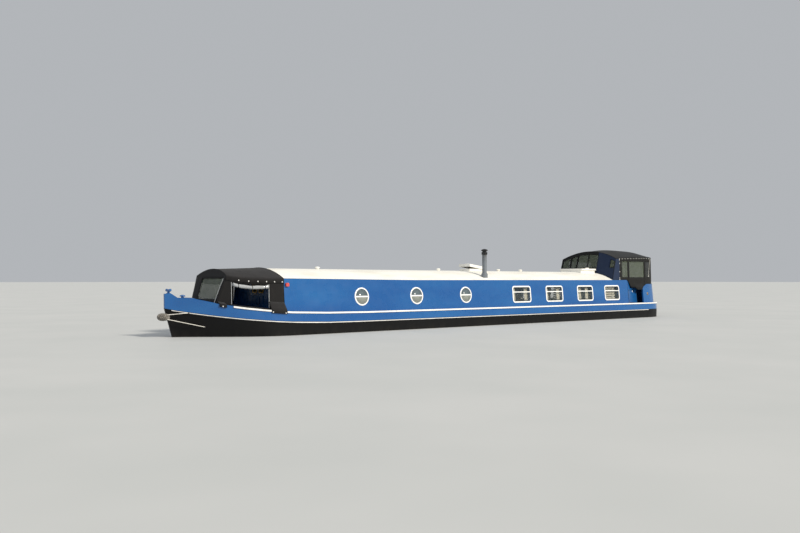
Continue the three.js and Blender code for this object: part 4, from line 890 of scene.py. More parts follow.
def build_porthole(side_name, number):
    """Ring, bar, screws and glass of one porthole."""
    node = f"porthole_{side_name}_{number}"
    low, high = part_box(node)
    outer = (high.x - low.x) / 2
    inner = PORTHOLE_CLEAR
    matrix = on_side((low.x + high.x) / 2, (low.z + high.z) / 2, SIDES[side_name])
    bm = bmesh.new()
    spun(bm, [
        (inner, -0.018), (inner, 0.008), (inner + 0.004, 0.014), (inner + 0.010, 0.015),
        (outer - 0.012, 0.013), (outer - 0.004, 0.009), (outer, 0.0008), (outer - 0.02, 0.0008),
        (inner, -0.018),
    ], Matrix.Identity(4), 56)
    add_box(bm, (0, 0, 0.004), (2 * inner + 0.006, 0.040, 0.012))
    for i in range(SCREWS):
        turn = Matrix.Rotation(2 * math.pi * (i + 0.5) / SCREWS, 4, "Z")
        spun(bm, SCREW, turn @ Matrix.Translation(((inner + outer) / 2, 0, 0.0135)), 10)
    make_piece(f"{node}_ring", bm, "window_white", matrix=matrix, replaces=[node])

    bm = bmesh.new()
    bmesh.ops.create_circle(bm, cap_ends=True, segments=56, radius=inner + 0.003)
    behind = matrix @ Matrix.Translation((0, 0, -0.003))
    glass = make_piece(f"{node}_glass", bm, "porthole_glass", matrix=behind, closed=False)
    thicken(glass, 0.006)


for side_name in SIDES:
    for number in range(1, PORTHOLES_A_SIDE + 1):
        build_porthole(side_name, number)
print("portholes built:", 2 * PORTHOLES_A_SIDE)

# %% [markdown]
# ## Bow cover
# A charcoal canvas cover stands over the well deck. Its top is one curved sheet that hangs down over
# the eaves as a valance, and the valance hides the upper edge of the side panels. The front is a
# raked panel with a big clear window. On port the side window is rolled up and held by straps.
# The cloth could be simulated over the frame; formulas for its surfaces hold its seams in place
# exactly, and give any point of it, so that zips and buttons can be set on the cloth.

# %% Bow cover: the surfaces
COVER_REAR = 7.746
COVER_FOOT_Z = 0.972
COVER = [  # x, half breadth at the foot and at the eave, eave and crown heights
    (7.746, 1.372, 1.318, 2.232, 2.536), (8.0, 1.345, 1.300, 2.232, 2.532),
    (8.4, 1.262, 1.235, 2.236, 2.522), (8.8, 1.100, 1.080, 2.244, 2.508),
    (9.1, 0.940, 0.900, 2.285, 2.492), (9.3, 0.800, 0.735, 2.315, 2.472),
    (9.48, 0.680, 0.660, 2.285, 2.450),
]
COVER_FRONT = {"x": 9.44, "z": 1.56, "rake": 1 / 3}
COVER_BACK = Vector((8.4, 0.0, 1.9))
UPRIGHT_SHARE = 0.8
VALANCE_END = 1.12
HEM = 0.014


def share_at(x):
    """Share of the cover's length at an x in its upright part."""
    return (x - COVER_REAR) / (COVER_FRONT["x"] - COVER_REAR)


def cover_front_x(z):
    """X of the raked front at a height."""
    return COVER_FRONT["x"] - COVER_FRONT["rake"] * (z - COVER_FRONT["z"])


def cover_x(share, z):
    """X along the cover: upright lines up to four fifths, then leaning into the raked front."""
    length = COVER_FRONT["x"] - COVER_REAR
    if share <= UPRIGHT_SHARE:
        return COVER_REAR + share * length
    knee = COVER_REAR + UPRIGHT_SHARE * length
    return knee + (share - UPRIGHT_SHARE) / (1 - UPRIGHT_SHARE) * (cover_front_x(z) - knee)


def cover_side(share, drop, side, proud=0.0):
    """A point of a side panel; drop is 0 at the eave and 1 at the hem above the deck edge."""
    z = 2.0
    for _ in range(3):
        x = cover_x(share, z)
        foot, eave, eave_z, crown_z = table_at(COVER, x)
        hem_z = table_at(DECK_EDGE, x)[1] + HEM
        z = eave_z + (hem_z - eave_z) * drop
    y = eave + (foot - eave) * (eave_z - z) / (eave_z - COVER_FOOT_Z)
    return Vector((x, side * (y + proud + ripple(x, z, 0.004) * min(1.0, 4 * drop)), z))


def cover_top(share, across):
    """A point of the top; across runs from -1 to 1 between the eaves and past them down the valance."""
    side = PORT if across >= 0 else STARBOARD
    if abs(across) > 1:
        return cover_side(share, (abs(across) - 1) * 1.2, side, 0.007 + 0.05 * (abs(across) - 1))
    z = 2.4
    for _ in range(4):
        x = cover_x(share, z)
        foot, eave, eave_z, crown_z = table_at(COVER, x)
        y = across * (eave + 0.004)
        z = arch_height(eave + 0.004, eave_z, crown_z, y)
    sag = 0.010 * math.sin(math.pi * share) * (1 - across ** 2)
    return Vector((x, y, z - sag + ripple(x, y, 0.002)))


def cover_front(across, rise, proud=0.0):
    """A point of the front panel; rise is 0 at the deck, 0.75 at the eave and 1 along the arch."""
    z = 2.0
    for _ in range(4):
        x = cover_front_x(z)
        foot, eave, eave_z, crown_z = table_at(COVER, x)
        low = table_at(DECK_EDGE, cover_front_x(1.58))[1] + HEM
        wall = low + (eave_z - low) * min(rise / 0.75, 1.0)
        arched = arch_height(eave, eave_z, crown_z, across * eave)
        z = wall + (arched - eave_z) * max(0.0, (rise - 0.75) / 0.25)
    y = across * (eave + (foot - eave) * (eave_z - min(z, eave_z)) / (eave_z - COVER_FOOT_Z))
    return Vector((x + proud + ripple(y, z, 0.003) * (1 - abs(across)), y, z))


# %% [markdown]
# The sheets are cut from flat cloth with holes for the windows, and clear film is sewn in behind
# each hole. Each could be one thin solid; a grid with a thickness modifier stays easy to read, and
# its area is measured before it gets thick. From the width it is cut to, the length that gives this
# area plus its hems is worked out.

# %% Bow cover: the sheets
WINDOW_AFT, WINDOW_FORE = 0.268, 0.793
WINDOW_TOP, WINDOW_FOOT = 0.22, 0.965
STARBOARD_WINDOW = (WINDOW_AFT, WINDOW_FORE, WINDOW_TOP, 0.80)
FRONT_WINDOW = (-0.55, 0.84, 0.10, 0.68)
SKIRTS = [(7.75, 8.20, 0.74), (9.26, 9.42, 0.93)]
RAIL_PROUD = 0.025
RAIL_HIGH = 0.045
CLOTH = 0.002
FILM = 0.001


def make_sheet(name, us, vs, place, material, thickness, width, holes=(),
               outward=COVER_BACK, replaces=()):
    bm = laid_grid(us, vs, place, holes, outward)
    length = area_of(bm) * HEM_ALLOWANCE / width
    piece = make_piece(name, bm, material, replaces=replaces, smooth=60.0, closed=False)
    thicken(piece, thickness)
    return piece


def skirt_point(x, down, side, start=0.9):
    """A point of the flap that hangs from a side panel's foot out over the white rail."""
    half, deck_z = table_at(DECK_EDGE, x)
    hem = cover_side(share_at(x), start, side, 0.004)
    lip = Vector((x, side * (half + RAIL_PROUD + 0.006), deck_z + 0.010))
    foot = Vector((x, side * (half + RAIL_PROUD + 0.010), deck_z - RAIL_HIGH - 0.030))
    return hem.lerp(lip, down) if down <= 1 else lip.lerp(foot, down - 1)


def build_skirts():
    """The solid panels end in flaps over the rail, where their turn buttons are."""
    for side_name, side in SIDES.items():
        for number, (aft, fore, start) in enumerate(SKIRTS, 1):
            name = f"bow_cover_skirt_{side_name}_{number}"
            place = lambda x, down, side=side, start=start: skirt_point(x, down, side, start)
            make_sheet(name, stops([aft, fore], 0.06), stops([0.0, 1.0, 2.0], 0.34), place, "charcoal_canvas",
                       CLOTH, 0.34)


def build_cover_cloth():
    """Top with its valances, two sides and the front."""
    lengthwise = stops([0.0, WINDOW_AFT, WINDOW_FORE, UPRIGHT_SHARE, 1.0], 0.04)
    around = stops([-VALANCE_END, -1.0, 1.0, VALANCE_END], 0.06)
    make_sheet("bow_cover_top", lengthwise, around, cover_top, "charcoal_canvas", CLOTH, 1.70,
               replaces=["cratch_cover"])
    down = stops([0.0, WINDOW_TOP, 0.80, WINDOW_FOOT, 1.0], 0.08)
    holes = {
        "port": (WINDOW_AFT, WINDOW_FORE, WINDOW_TOP, WINDOW_FOOT),
        "starboard": STARBOARD_WINDOW,
    }
    for side_name, side in SIDES.items():
        place = lambda share, drop, side=side: cover_side(share, drop, side)
        make_sheet(f"bow_cover_side_{side_name}", lengthwise, down, place, "charcoal_canvas", CLOTH, 0.84,
                   holes=[holes[side_name]])
    left, right, low, high = FRONT_WINDOW
    across = stops([-1.0, left, right, 1.0], 0.12)
    up = stops([0.0, low, high, 0.75, 1.0], 0.08)
    make_sheet("bow_cover_front", across, up, cover_front, "charcoal_canvas", CLOTH, 0.92,
               holes=[FRONT_WINDOW])


def build_cover_windows():
    """The clear windows of the front and the starboard side, sewn in behind their openings."""
    left, right, low, high = FRONT_WINDOW
    across = stops([left - 0.02, right + 0.02], 0.12)
    up = stops([low - 0.01, high + 0.005], 0.08)
    make_sheet("bow_cover_front_window", across, up, lambda a, r: cover_front(a, r, -0.004),
               "clear_plastic", FILM, 0.62)
    aft, fore, high, low = STARBOARD_WINDOW
    lengthwise = stops([aft - 0.01, fore + 0.01], 0.04)
    down = stops([high - 0.02, low + 0.02], 0.08)
    behind = lambda share, drop: cover_side(share, drop, STARBOARD, -0.004)
    make_sheet("bow_cover_starboard_window", lengthwise, down, behind, "clear_plastic", FILM, 0.52)


build_cover_cloth()
build_cover_windows()
build_skirts()
print("bow cover: 6 sheets and 4 flaps over the rail")

# %% [markdown]
# The rolled-up window lies along the top of its opening as a loose roll, held by three straps.
# Zips, bindings and turn buttons finish the cover. Each line could be a strip of cloth of its own;
# a curve with a round section lies on the surface at a few points and is light. The roll is a sheet
# like the others, laid along a spiral.

# %% Bow cover: roll, straps, zips and buttons
ROLL_RADIUS = 0.048
ROLL_TURNS = 3.2


def make_lines(name, routes, radius, material, body="boat", closed=False):
    """A round line along each route, all in one curve piece: seams, zips, lashings and rails."""
    curve = bpy.data.curves.new(name, "CURVE")
    curve.dimensions = "3D"
    curve.bevel_depth = radius
    curve.bevel_resolution = 2
    curve.use_fill_caps = True
    for route in routes:
        spline = curve.splines.new("POLY")
        spline.points.add(len(route) - 1)
        for point, place in zip(spline.points, route):
            point.co = (*place, 1.0)
        spline.use_cyclic_u = closed
        spline.use_smooth = True
    return attach(bpy.data.objects.new(name, curve), material, body, ())


def roll_axis(share):
    """The middle line of the roll, just below the top of the opening and outside it."""
    edge = cover_side(share, WINDOW_TOP, PORT)
    along = (share - WINDOW_AFT) / (WINDOW_FORE - WINDOW_AFT)
    sag = 0.034 * math.sin(math.pi * along) + 0.008 * math.sin(math.pi * along * 3) ** 2
    return edge + Vector((0, 0.026, -0.038 - sag))


def roll_point(share, turn):
    """A point of the rolled film: a spiral that tightens inwards and starts at the opening's top."""
    angle = turn * 2 * math.pi
    radius = ROLL_RADIUS * (1 - 0.16 * turn) * (1 + 0.05 * math.sin(31 * share + 2 * angle))
    axis = roll_axis(share)
    return axis + Vector((0, radius * math.sin(angle) * 0.85, radius * math.cos(angle)))


def build_roll():
    """The rolled clear window and its straps."""
    lengthwise = stops([WINDOW_AFT + 0.006, WINDOW_FORE - 0.006], 0.02)
    make_sheet("bow_cover_rolled_window", lengthwise, stops([0.0, ROLL_TURNS], 0.06), roll_point,
               "rolled_plastic", 0.0012, 0.88, outward=None)
    reach = ROLL_RADIUS * 1.10
    routes = []
    for share in (0.34, 0.53, 0.72):
        angles = [2 * math.pi * i / 24 for i in range(25)]
        loop = [Vector((0, reach * math.sin(angle) * 0.9, reach * math.cos(angle))) for angle in angles]
        routes.append([roll_axis(share) + offset for offset in loop])
    make_lines("bow_cover_roll_straps", routes, 0.006, "charcoal_canvas")


def build_cover_seams():
    """Light zips beside the openings, dark beads round the front window, bindings on the edges."""
    zips = []
    for share in (WINDOW_AFT - 0.008, WINDOW_FORE + 0.008):
        for side, foot in ((PORT, WINDOW_FOOT), (STARBOARD, 0.82)):
            drops = stops([WINDOW_TOP - 0.02, foot], 0.08)
            zips.append([cover_side(share, drop, side, 0.004) for drop in drops])
    left, right, low, high = FRONT_WINDOW
    zips.append([cover_front(right + 0.02, r, 0.006) for r in stops([0.0, high], 0.08)])
    make_lines("bow_cover_zips", zips, 0.009, "rolled_plastic")
    edges = [[cover_front(left - 0.01, r, 0.003) for r in stops([low, high], 0.08)]]
    for rise in (low, high):
        edges.append([cover_front(a, rise, 0.003) for a in stops([left, right], 0.08)])
    make_lines("bow_cover_window_beads", edges, 0.005, "charcoal_canvas")
    bindings = []
    for side in SIDES.values():
        bindings.append([cover_side(s, 0.995, side, 0.003) for s in stops([0.0, 1.0], 0.05)])
        bindings.append([cover_top(s, side * VALANCE_END) for s in stops([0.0, 1.0], 0.05)])
        bindings.append([cover_side(1.0, d, side, 0.002) for d in stops([0.0, 1.0], 0.1)])
        bindings.append([cover_side(0.003, d, side, 0.003) for d in stops([0.0, 1.0], 0.1)])
    bindings.append([cover_top(1.0, a) + Vector((0.003, 0, 0.002)) for a in stops([-1.0, 1.0], 0.08)])
    bindings.append([cover_top(0.004, a) + Vector((0, 0, 0.003)) for a in stops([-1.0, 1.0], 0.08)])
    make_lines("bow_cover_bindings", bindings, 0.006, "charcoal_canvas")


# The buttons are small chrome fittings; drawn 34 mm across in white, they are painted glint of the sun on
# them.
BUTTON_PLATE = [(0.0, 0.008), (0.010, 0.007), (0.014, 0.003), (0.017, 0.0)]
BUTTON_WING = (0.034, 0.010, 0.016)


def build_turn_buttons():
    """Turn buttons drawn white as painted glint on chrome: a round plate and a wing that turns, along each
    valance and hem.
    """
    bm = bmesh.new()
    for side in SIDES.values():
        facing = Vector((0, side, 0.05)).to_track_quat("Z", "X")
        spots = [cover_top(share_at(7.80 + 0.228 * i), side * 1.09) for i in range(6)]
        spots += [skirt_point(x, 1.7, side) for x in (7.80, 8.16, 9.34)]
        for spot in spots:
            spun(bm, BUTTON_PLATE, Matrix.LocRotScale(spot, facing, None), 14)
            add_box(bm, spot + Vector((0, 0.006 * side, 0)), BUTTON_WING, facing)
    make_piece("bow_cover_turn_buttons_painted_glint", bm, "white_plastic")


build_roll()
build_cover_seams()
build_turn_buttons()
print("bow cover: roll, straps, zips, bindings and turn buttons")

# %% [markdown]
# ## Stern hood
# A high canvas hood shelters the steerer. It is sewn from a wall that runs right round the stern,
# a raked front, and a domed top. The wall follows the deck edge, drawn in by a margin, from the
# roof's edge over the gates to the top of the bulwark. Its lower edge dips over each gate. It could
# be draped by simulation too, but stretched over its tubes it hardly moves, so formulas do here
# as well: one for the plan, one for the arch, and tables for the edges.

# %% Hood: the surfaces
# Deck edge round the stern, from the middle to the front: x, half breadth
STERN_EDGE = [
    (-10.70, 0.04), (-10.66, 0.60), (-10.53, 1.05), (-10.32, 1.31), (-10.05, 1.430),
    (-9.75, 1.482), (-9.40, 1.497), (-9.00, 1.50), (-8.30, 1.50), (-7.60, 1.50), (-6.90, 1.50),
]
HOOD = [  # x, eave and crown heights
    (-10.70, 2.95, 3.18), (-10.15, 3.03, 3.30), (-9.65, 3.085, 3.38), (-9.00, 3.07, 3.412),
    (-8.30, 3.05, 3.40), (-7.90, 3.03, 3.36), (-7.48, 3.02, 3.31),
]
HOOD_HALF = 1.29
HOOD_MARGIN = 0.187
HOOD_LEAN = 0.02
HOOD_FRONT = {"x": -7.29, "rake": 0.3}
HOOD_BACK = Vector((-8.9, 0.0, 2.5))
HOOD_LOWER_EDGE = [  # x, height: roof edge, down over the gate, up again to the bulwark's top
    (-10.70, 2.036), (-9.62, 2.034), (-9.34, 1.918), (-9.28, 1.902), (-9.24, 1.82), (-8.88, 1.815),
    (-8.80, 1.902), (-8.58, 1.904), (-8.52, 1.926), (-8.46, 1.990), (-8.40, 2.074), (-8.36, 2.127),
    (-8.32, 2.168), (-8.28, 2.192), (-8.24, 2.196), (-6.90, 2.196),
]
FLAP = {"aft": -9.36, "fore": -8.74, "top": 2.02, "proud": 0.048}
SILL_Z = 2.29
HEAD_Z = 2.93
FRONT_SILL_Z = 2.67
# Places on the outline, counted in its points: the front corner, and where the wall begins to lean
FRONT_PLACE = 9.56
UPRIGHT_FROM = 8.75


def offset_ring(margin):
    """The stern's outline drawn in by a margin, from the middle of the stern to the port front."""
    points = [Vector((x, y)) for x, y in STERN_EDGE]
    ring = []
    for i, point in enumerate(points):
        ahead = points[min(i + 1, len(points) - 1)]
        behind = points[max(i - 1, 0)]
        way = (ahead - behind).normalized()
        inward = Vector((way.y, -way.x))
        moved = point + inward * margin
        ring.append(Vector((moved.x, max(moved.y, 0.0))))
    ring[0] = Vector((points[0].x + margin, 0.0))
    return ring


def curve_point(points, place):
    """A smooth curve through points, read at a fractional index."""
    index = min(int(place), len(points) - 2)
    share = place - index
    before = points[max(index - 1, 0)]
    after = points[min(index + 2, len(points) - 1)]
    start, end = points[index], points[index + 1]
    leave = (end - before) * 0.5 if index > 0 else (end - start)
    reach = (after - start) * 0.5
    s2, s3 = share ** 2, share ** 3
    return (start * (2 * s3 - 3 * s2 + 1) + leave * (s3 - 2 * s2 + share)
            + end * (3 * s2 - 2 * s3) + reach * (s3 - s2))


def hood_ring(place, z, proud=0.0):
    """A point of the wall's plan; place runs along the outline, below 0 on starboard."""
    margin = HOOD_MARGIN + (z - GUNWALE_Z) * HOOD_LEAN - proud
    flat = curve_point(offset_ring(margin), abs(place))
    return Vector((flat.x, math.copysign(flat.y, place)))


def hood_top_height(x, y):
    """Height of the hood's top."""
    eave_z, crown_z = table_at(HOOD, x)
    return arch_height(HOOD_HALF, eave_z, crown_z, min(abs(y), HOOD_HALF))


def hood_front_x(z):
    """X of the raked front at a height."""
    return HOOD_FRONT["x"] - HOOD_FRONT["rake"] * (z - SIDE_TOP_Z)


def ease(share):
    """Eases from 0 to 1 and holds both ends."""
    share = min(1.0, max(0.0, share))
    return share * share * (3 - 2 * share)


def flap_flare(x, z):
    """How far the flap over the gate stands out, so that it hangs outside the shut gate."""
    along = ease((x - FLAP["aft"]) / 0.04) * ease((FLAP["fore"] - x) / 0.05)
    return FLAP["proud"] * along * ease((FLAP["top"] - z) / 0.11)


def hood_wall(place, rise, proud=0.0):
    """A point of the wall: rise is 0 at the lower edge, 1 at the sills, 2 at the heads, 3 at the eave."""
    z = 2.6
    for _ in range(3):
        spot = hood_ring(place, z, proud)
        front = abs(place) - UPRIGHT_FROM
        if front > 0:
            share = front / (FRONT_PLACE - UPRIGHT_FROM)
            knee = hood_ring(math.copysign(UPRIGHT_FROM, place), z, proud)
            spot = Vector((knee.x + (hood_front_x(z) - knee.x) * share, knee.y))
        low = table_at(HOOD_LOWER_EDGE, spot.x)[0]
        high = hood_top_height(spot.x, spot.y)
        levels = [low, max(SILL_Z, low + 0.02), min(HEAD_Z, high - 0.06), high]
        index = min(int(rise), 2)
        z = levels[index] + (levels[index + 1] - levels[index]) * (rise - index)
    waved = ripple(spot.x * 0.8, z, 0.006) * math.sin(math.pi * rise / 3) * min(1.0, abs(spot.y))
    outward = (1 if place >= 0 else -1) * (waved + flap_flare(spot.x, z))
    return Vector((spot.x, spot.y + outward, z))


def hood_top(lengthwise, across):
    """A point of the top; lengthwise is the place on the outline, and across runs from -1 to 1."""
    edge_z = 3.0
    for _ in range(3):
        if lengthwise > UPRIGHT_FROM:
            share = (lengthwise - UPRIGHT_FROM) / (FRONT_PLACE - UPRIGHT_FROM)
            knee = hood_ring(UPRIGHT_FROM, edge_z)
            edge = Vector((knee.x + (hood_front_x(edge_z) - knee.x) * share, knee.y))
        else:
            edge = hood_ring(lengthwise, edge_z)
        edge_z = hood_top_height(edge.x, edge.y)
    y = across * edge.y
    x = edge.x
    z = hood_top_height(x, y)
    if lengthwise > UPRIGHT_FROM:
        for _ in range(4):
            x = knee.x + (hood_front_x(z) - knee.x) * share
            z = hood_top_height(x, y)
    hollow = 0.012 * (1 - across ** 2) * math.sin(math.pi * min(1.0, (x + 10.7) / 3.2) * 3) ** 2
    return Vector((x, y, z - hollow))


def hood_front(across, rise, proud=0.0):
    """A point of the raked front: rise is 0 on the roof, 1 at the sills, 2 at the heads, 3 at the top."""
    breadth = HOOD_HALF - 0.005
    y = across * breadth
    low = roof_height(y) + 0.004
    z = 2.7
    for _ in range(4):
        high = hood_top_height(hood_front_x(z), y)
        sill = max(FRONT_SILL_Z, low + 0.05)
        head = high - 0.12
        levels = [low, min(sill, head - 0.05), head, high]
        index = min(int(rise), 2)
        z = levels[index] + (levels[index + 1] - levels[index]) * (rise - index)
    return Vector((hood_front_x(z) + proud + ripple(y, z, 0.003), y, z))


# %% [markdown]
# The windows are holes in the cloth with clear plastic sewn in behind them. The panel beside the
# port front corner is a bluer, newer cloth, as a repair would be. It could be a sheet of its own;
# a second material on some faces of the same sheet leaves no gap at the seam.

# %% Hood: the sheets
# Windows of the wall as x of their after and forward edges, and the stern window's half breadth as a place
WALL_WINDOWS = [(-10.02, -9.56), (-9.46, -8.42), (-8.32, -7.93)]
STERN_WINDOW = 1.1
DOOR_SEAM_X = -7.77
FRONT_WINDOWS = [(-0.965, -0.685), (-0.62, -0.43), (-0.385, -0.02), (0.01, 0.35), (0.83, 0.985)]


def place_at(x):
    """Place on the stern's outline whose x is nearest to a value, on the straight side."""
    xs = [point[0] for point in STERN_EDGE]
    for i, (aft, fore) in enumerate(zip(xs, xs[1:])):
        if aft <= x <= fore:
            return i + (x - aft) / (fore - aft)
    return len(xs) - 1.0


def tint_faces(piece, material, chosen):
    """Gives the faces whose middle passes a test another cloth."""
    piece.data.materials.append(MATERIALS[material])
    for face in piece.data.polygons:
        if chosen(face.center):
            face.material_index = 1


def wall_marks(side):
    """Places of all window edges on one side, in order from aft."""
    edges = [place_at(x) for pair in WALL_WINDOWS for x in pair]
    marks = [0.0] + edges + [place_at(DOOR_SEAM_X), UPRIGHT_FROM, FRONT_PLACE]
    return sorted(mark * side for mark in [*marks, STERN_WINDOW])


def build_hood_sheets():
    """Wall, top and front with their windows."""
    places = stops(wall_marks(STARBOARD), 0.16)[:-1] + stops(wall_marks(PORT), 0.16)
    rises = stops([0.0, 1.0, 2.0, 3.0], 0.16)
    holes = [(-STERN_WINDOW, STERN_WINDOW, 1.0, 2.0)]
    for aft, fore in WALL_WINDOWS:
        aft_place, fore_place = place_at(aft), place_at(fore)
        holes.append((aft_place, fore_place, 1.0, 2.0))
        holes.append((-fore_place, -aft_place, 1.0, 2.0))
    wall = make_sheet("hood_wall", places, rises, hood_wall, "navy_canvas", CLOTH, 1.0,
                      holes=holes, outward=HOOD_BACK,
                      replaces=["stern_hood"])
    tint_faces(wall, "blue_canvas", lambda middle: middle.y > 0 and middle.x > DOOR_SEAM_X)

    lengthwise = [FRONT_PLACE * i / 44 for i in range(45)]
    make_sheet("hood_top", lengthwise, stops([-1.0, 1.0], 0.07), hood_top, "navy_canvas", CLOTH, 2.9,
               outward=HOOD_BACK)

    marks = sorted({edge for pair in FRONT_WINDOWS for edge in pair} | {-1.0, 1.0})
    front_holes = [(left, right, 1.0, 2.0) for left, right in FRONT_WINDOWS]
    front = make_sheet("hood_front", stops(marks, 0.08), rises, hood_front, "navy_canvas", CLOTH, 0.8,
                       holes=front_holes, outward=HOOD_BACK)
    tint_faces(front, "blue_canvas", lambda middle: middle.y > 0.50)


def build_hood_windows():
    """Clear plastic behind each opening of the hood."""
    up = stops([0.97, 2.03], 0.12)
    behind_wall = lambda place, rise: hood_wall(place, rise, -0.003)
    behind_front = lambda across, rise: hood_front(across, rise, -0.003)
    for number, (aft, fore) in enumerate(WALL_WINDOWS, 1):
        film = "smoked_plastic" if number == 1 else "clear_plastic"
        for side_name, side in SIDES.items():
            low, high = sorted((side * place_at(aft), side * place_at(fore)))
            places = stops([low - 0.015, high + 0.015], 0.1)
            make_sheet(f"hood_window_{side_name}_{number}", places, up, behind_wall, film, FILM, 0.66,
                       outward=HOOD_BACK)
    places = stops([-STERN_WINDOW - 0.015, 0.0, STERN_WINDOW + 0.015], 0.1)
    make_sheet("hood_window_stern", places, up, behind_wall, "clear_plastic", FILM, 0.66,
               outward=HOOD_BACK)
    for number, (left, right) in enumerate(FRONT_WINDOWS, 1):
        across = stops([left - 0.008, right + 0.008], 0.08)
        make_sheet(f"hood_front_window_{number}", across, up, behind_front, "clear_plastic", FILM, 0.5,
                   outward=HOOD_BACK)


build_hood_sheets()
build_hood_windows()
print("hood: 3 cloth sheets and", 2 * len(WALL_WINDOWS) + len(FRONT_WINDOWS) + 1, "clear windows")

# %% [markdown]
# Bindings cover the cut edges, zips join wall and front, and press studs hold the removable
# panels; their chrome glint is painted as white domes. A white cord with a knot ties the after panel back.
# They could be painted on by a material; real lines and studs, set on the cloth by the same formulas,
# stand out from it and catch light.

# %% Hood: seams, studs and cord
# The studs are chrome domes, drawn white and 34 mm across: painted glint.
STUD_RADIUS = 0.017
STUD_PITCH = 0.19
STUD_PROFILE = [
    (0.0, 0.010), (STUD_RADIUS * 0.6, 0.008), (STUD_RADIUS, 0.002), (STUD_RADIUS, -0.003), (0.0, -0.003),
]
BEAD_PROUD = 0.003


def beads_round(surface, marks, step):
    """Four lines round an opening of the hood: two uprights, its sill and its head."""
    up = stops([1.0, 2.0], 0.15)
    uprights = [[surface(end, rise, BEAD_PROUD) for rise in up] for end in (marks[0], marks[-1])]
    levels = [[surface(place, rise, BEAD_PROUD) for place in stops(marks, step)] for rise in (1.0, 2.0)]
    return uprights + levels


def build_hood_seams():
    """Bindings along eave, corners and lower edge, beads round the windows, and zips."""
    ends = [-FRONT_PLACE, 0.0, FRONT_PLACE]
    bindings = [
        [hood_wall(place, 3.0, 0.004) for place in stops(ends, 0.12)],
        [hood_wall(place, 0.0, 0.003) for place in stops(ends, 0.08)],
    ]
    for rise in (3.0, 0.0):
        bindings.append([hood_front(across, rise, 0.004) for across in stops([-1.0, 1.0], 0.06)])
    for side in SIDES.values():
        bindings.append([hood_wall(side * FRONT_PLACE, rise, 0.004) for rise in stops([0.0, 3.0], 0.2)])
    make_lines("hood_bindings", bindings, 0.008, "navy_canvas")

    beads = beads_round(hood_wall, [-STERN_WINDOW, 0.0, STERN_WINDOW], 0.1)
    for aft, fore in WALL_WINDOWS:
        for side in SIDES.values():
            beads += beads_round(hood_wall, sorted((side * place_at(aft), side * place_at(fore))), 0.1)
    for pair in FRONT_WINDOWS:
        beads += beads_round(hood_front, pair, 0.08)
    make_lines("hood_window_beads", beads, 0.005, "navy_canvas")

    zips = []
    for side in SIDES.values():
        for x in (-9.50, -8.37):
            zips.append([hood_wall(side * place_at(x), r, 0.004) for r in stops([0.05, 2.9], 0.2)])
    make_lines("hood_zips", zips, 0.007, "black_paint")


def build_hood_studs():
    """Press studs along the eave and down the forward edge of the door panel, drawn white as painted glint on
    chrome.
    """
    bm = bmesh.new()
    spots = []
    for side in SIDES.values():
        x = DOOR_SEAM_X
        while x > -10.2:
            spots.append(hood_wall(side * place_at(x), 2.82, 0.006))
            x -= STUD_PITCH
        for rise in (0.1, 0.75, 1.35, 1.85, 2.4):
            spots.append(hood_wall(side * place_at(DOOR_SEAM_X), rise, 0.006))
    for spot in spots:
        away = Vector((min(0.0, spot.x + 9.6), spot.y, 0.0)).normalized()
        spun(bm, STUD_PROFILE, Matrix.LocRotScale(spot, away.to_track_quat("Z", "Y"), None), 12)
    make_piece("hood_studs_painted_glint", bm, "white_plastic")


def build_hood_cord():
    """The tie: a pale cord from the eave to a knot on the after panel, held taut."""
    start = hood_wall(place_at(-10.06), 2.9, 0.012)
    end = hood_wall(place_at(-9.80), 1.08, 0.012)
    middle = (start + end) / 2 + Vector((0.03, 0.008, -0.02))
    route = [start, start.lerp(middle, 0.5), middle, middle.lerp(end, 0.5), end]
    make_lines("hood_tie", [route], 0.005, "pale_line")
    bm = bmesh.new()
    for turn in range(3):
        angle = turn * 1.05
        lie = Vector((math.cos(angle), 0.3, math.sin(angle))).to_track_quat("Z", "Y")
        stretched = Matrix.LocRotScale(end, lie, Vector((0.55, 0.55, 1.25)))
        bmesh.ops.create_uvsphere(bm, u_segments=12, v_segments=8, radius=0.022, matrix=stretched)
    make_piece("hood_tie_knot", bm, "pale_line")


build_hood_seams()
build_hood_studs()
build_hood_cord()
print("hood: bindings, beads, zips, studs and tie")

# %% [markdown]
# ## Roof fittings
# The flue stands in a flared foot and ends in a black cowl, which are spun from their profiles. The
# mid hatch lid has a skirt that drops over its coaming, and both hatch lids have a handle. Blocks
# with bevelled edges do for them. They are made at the lid's hinge and turned with it, so they lie
# on the open lid, and they ride on it and lift with it.

# %% Chimney and hatches
CHIMNEY = Vector((-0.33, 1.095, 0.0))
MID_LID = {"hinge": (-1.29, 0, 2.577175), "length": 0.815, "half": 0.265, "high": 0.055, "open": 8}
AFT_LID = {"hinge": (-6.38, 0, 2.561925), "half": 0.53, "high": 0.07}


def build_chimney():
    """The flared foot over the collar, a seam down the flue, and the cowl with its disc."""
    place = Matrix.Translation(CHIMNEY)
    bm = bmesh.new()
    spun(bm, [
        (0.1075, 2.262), (0.1075, 2.384), (0.096, 2.402), (0.083, 2.412), (0.0785, 2.412),
        (0.0785, 2.380), (0.1056, 2.380), (0.1056, 2.262), (0.1075, 2.262),
    ], place, 40)
    make_piece("chimney_foot", bm, "flue_grey")
    bm = bmesh.new()
    spun(bm, [
        (0.0, 3.036), (0.092, 3.036), (0.098, 3.041), (0.098, 3.112), (0.094, 3.118), (0.071, 3.121),
        (0.071, 3.150), (0.102, 3.160), (0.112, 3.168), (0.112, 3.186), (0.090, 3.206), (0.050, 3.222),
        (0.0, 3.228),
    ], place, 40)
    make_piece("chimney_cowl", bm, "black_paint", replaces=["chimney_cap"])


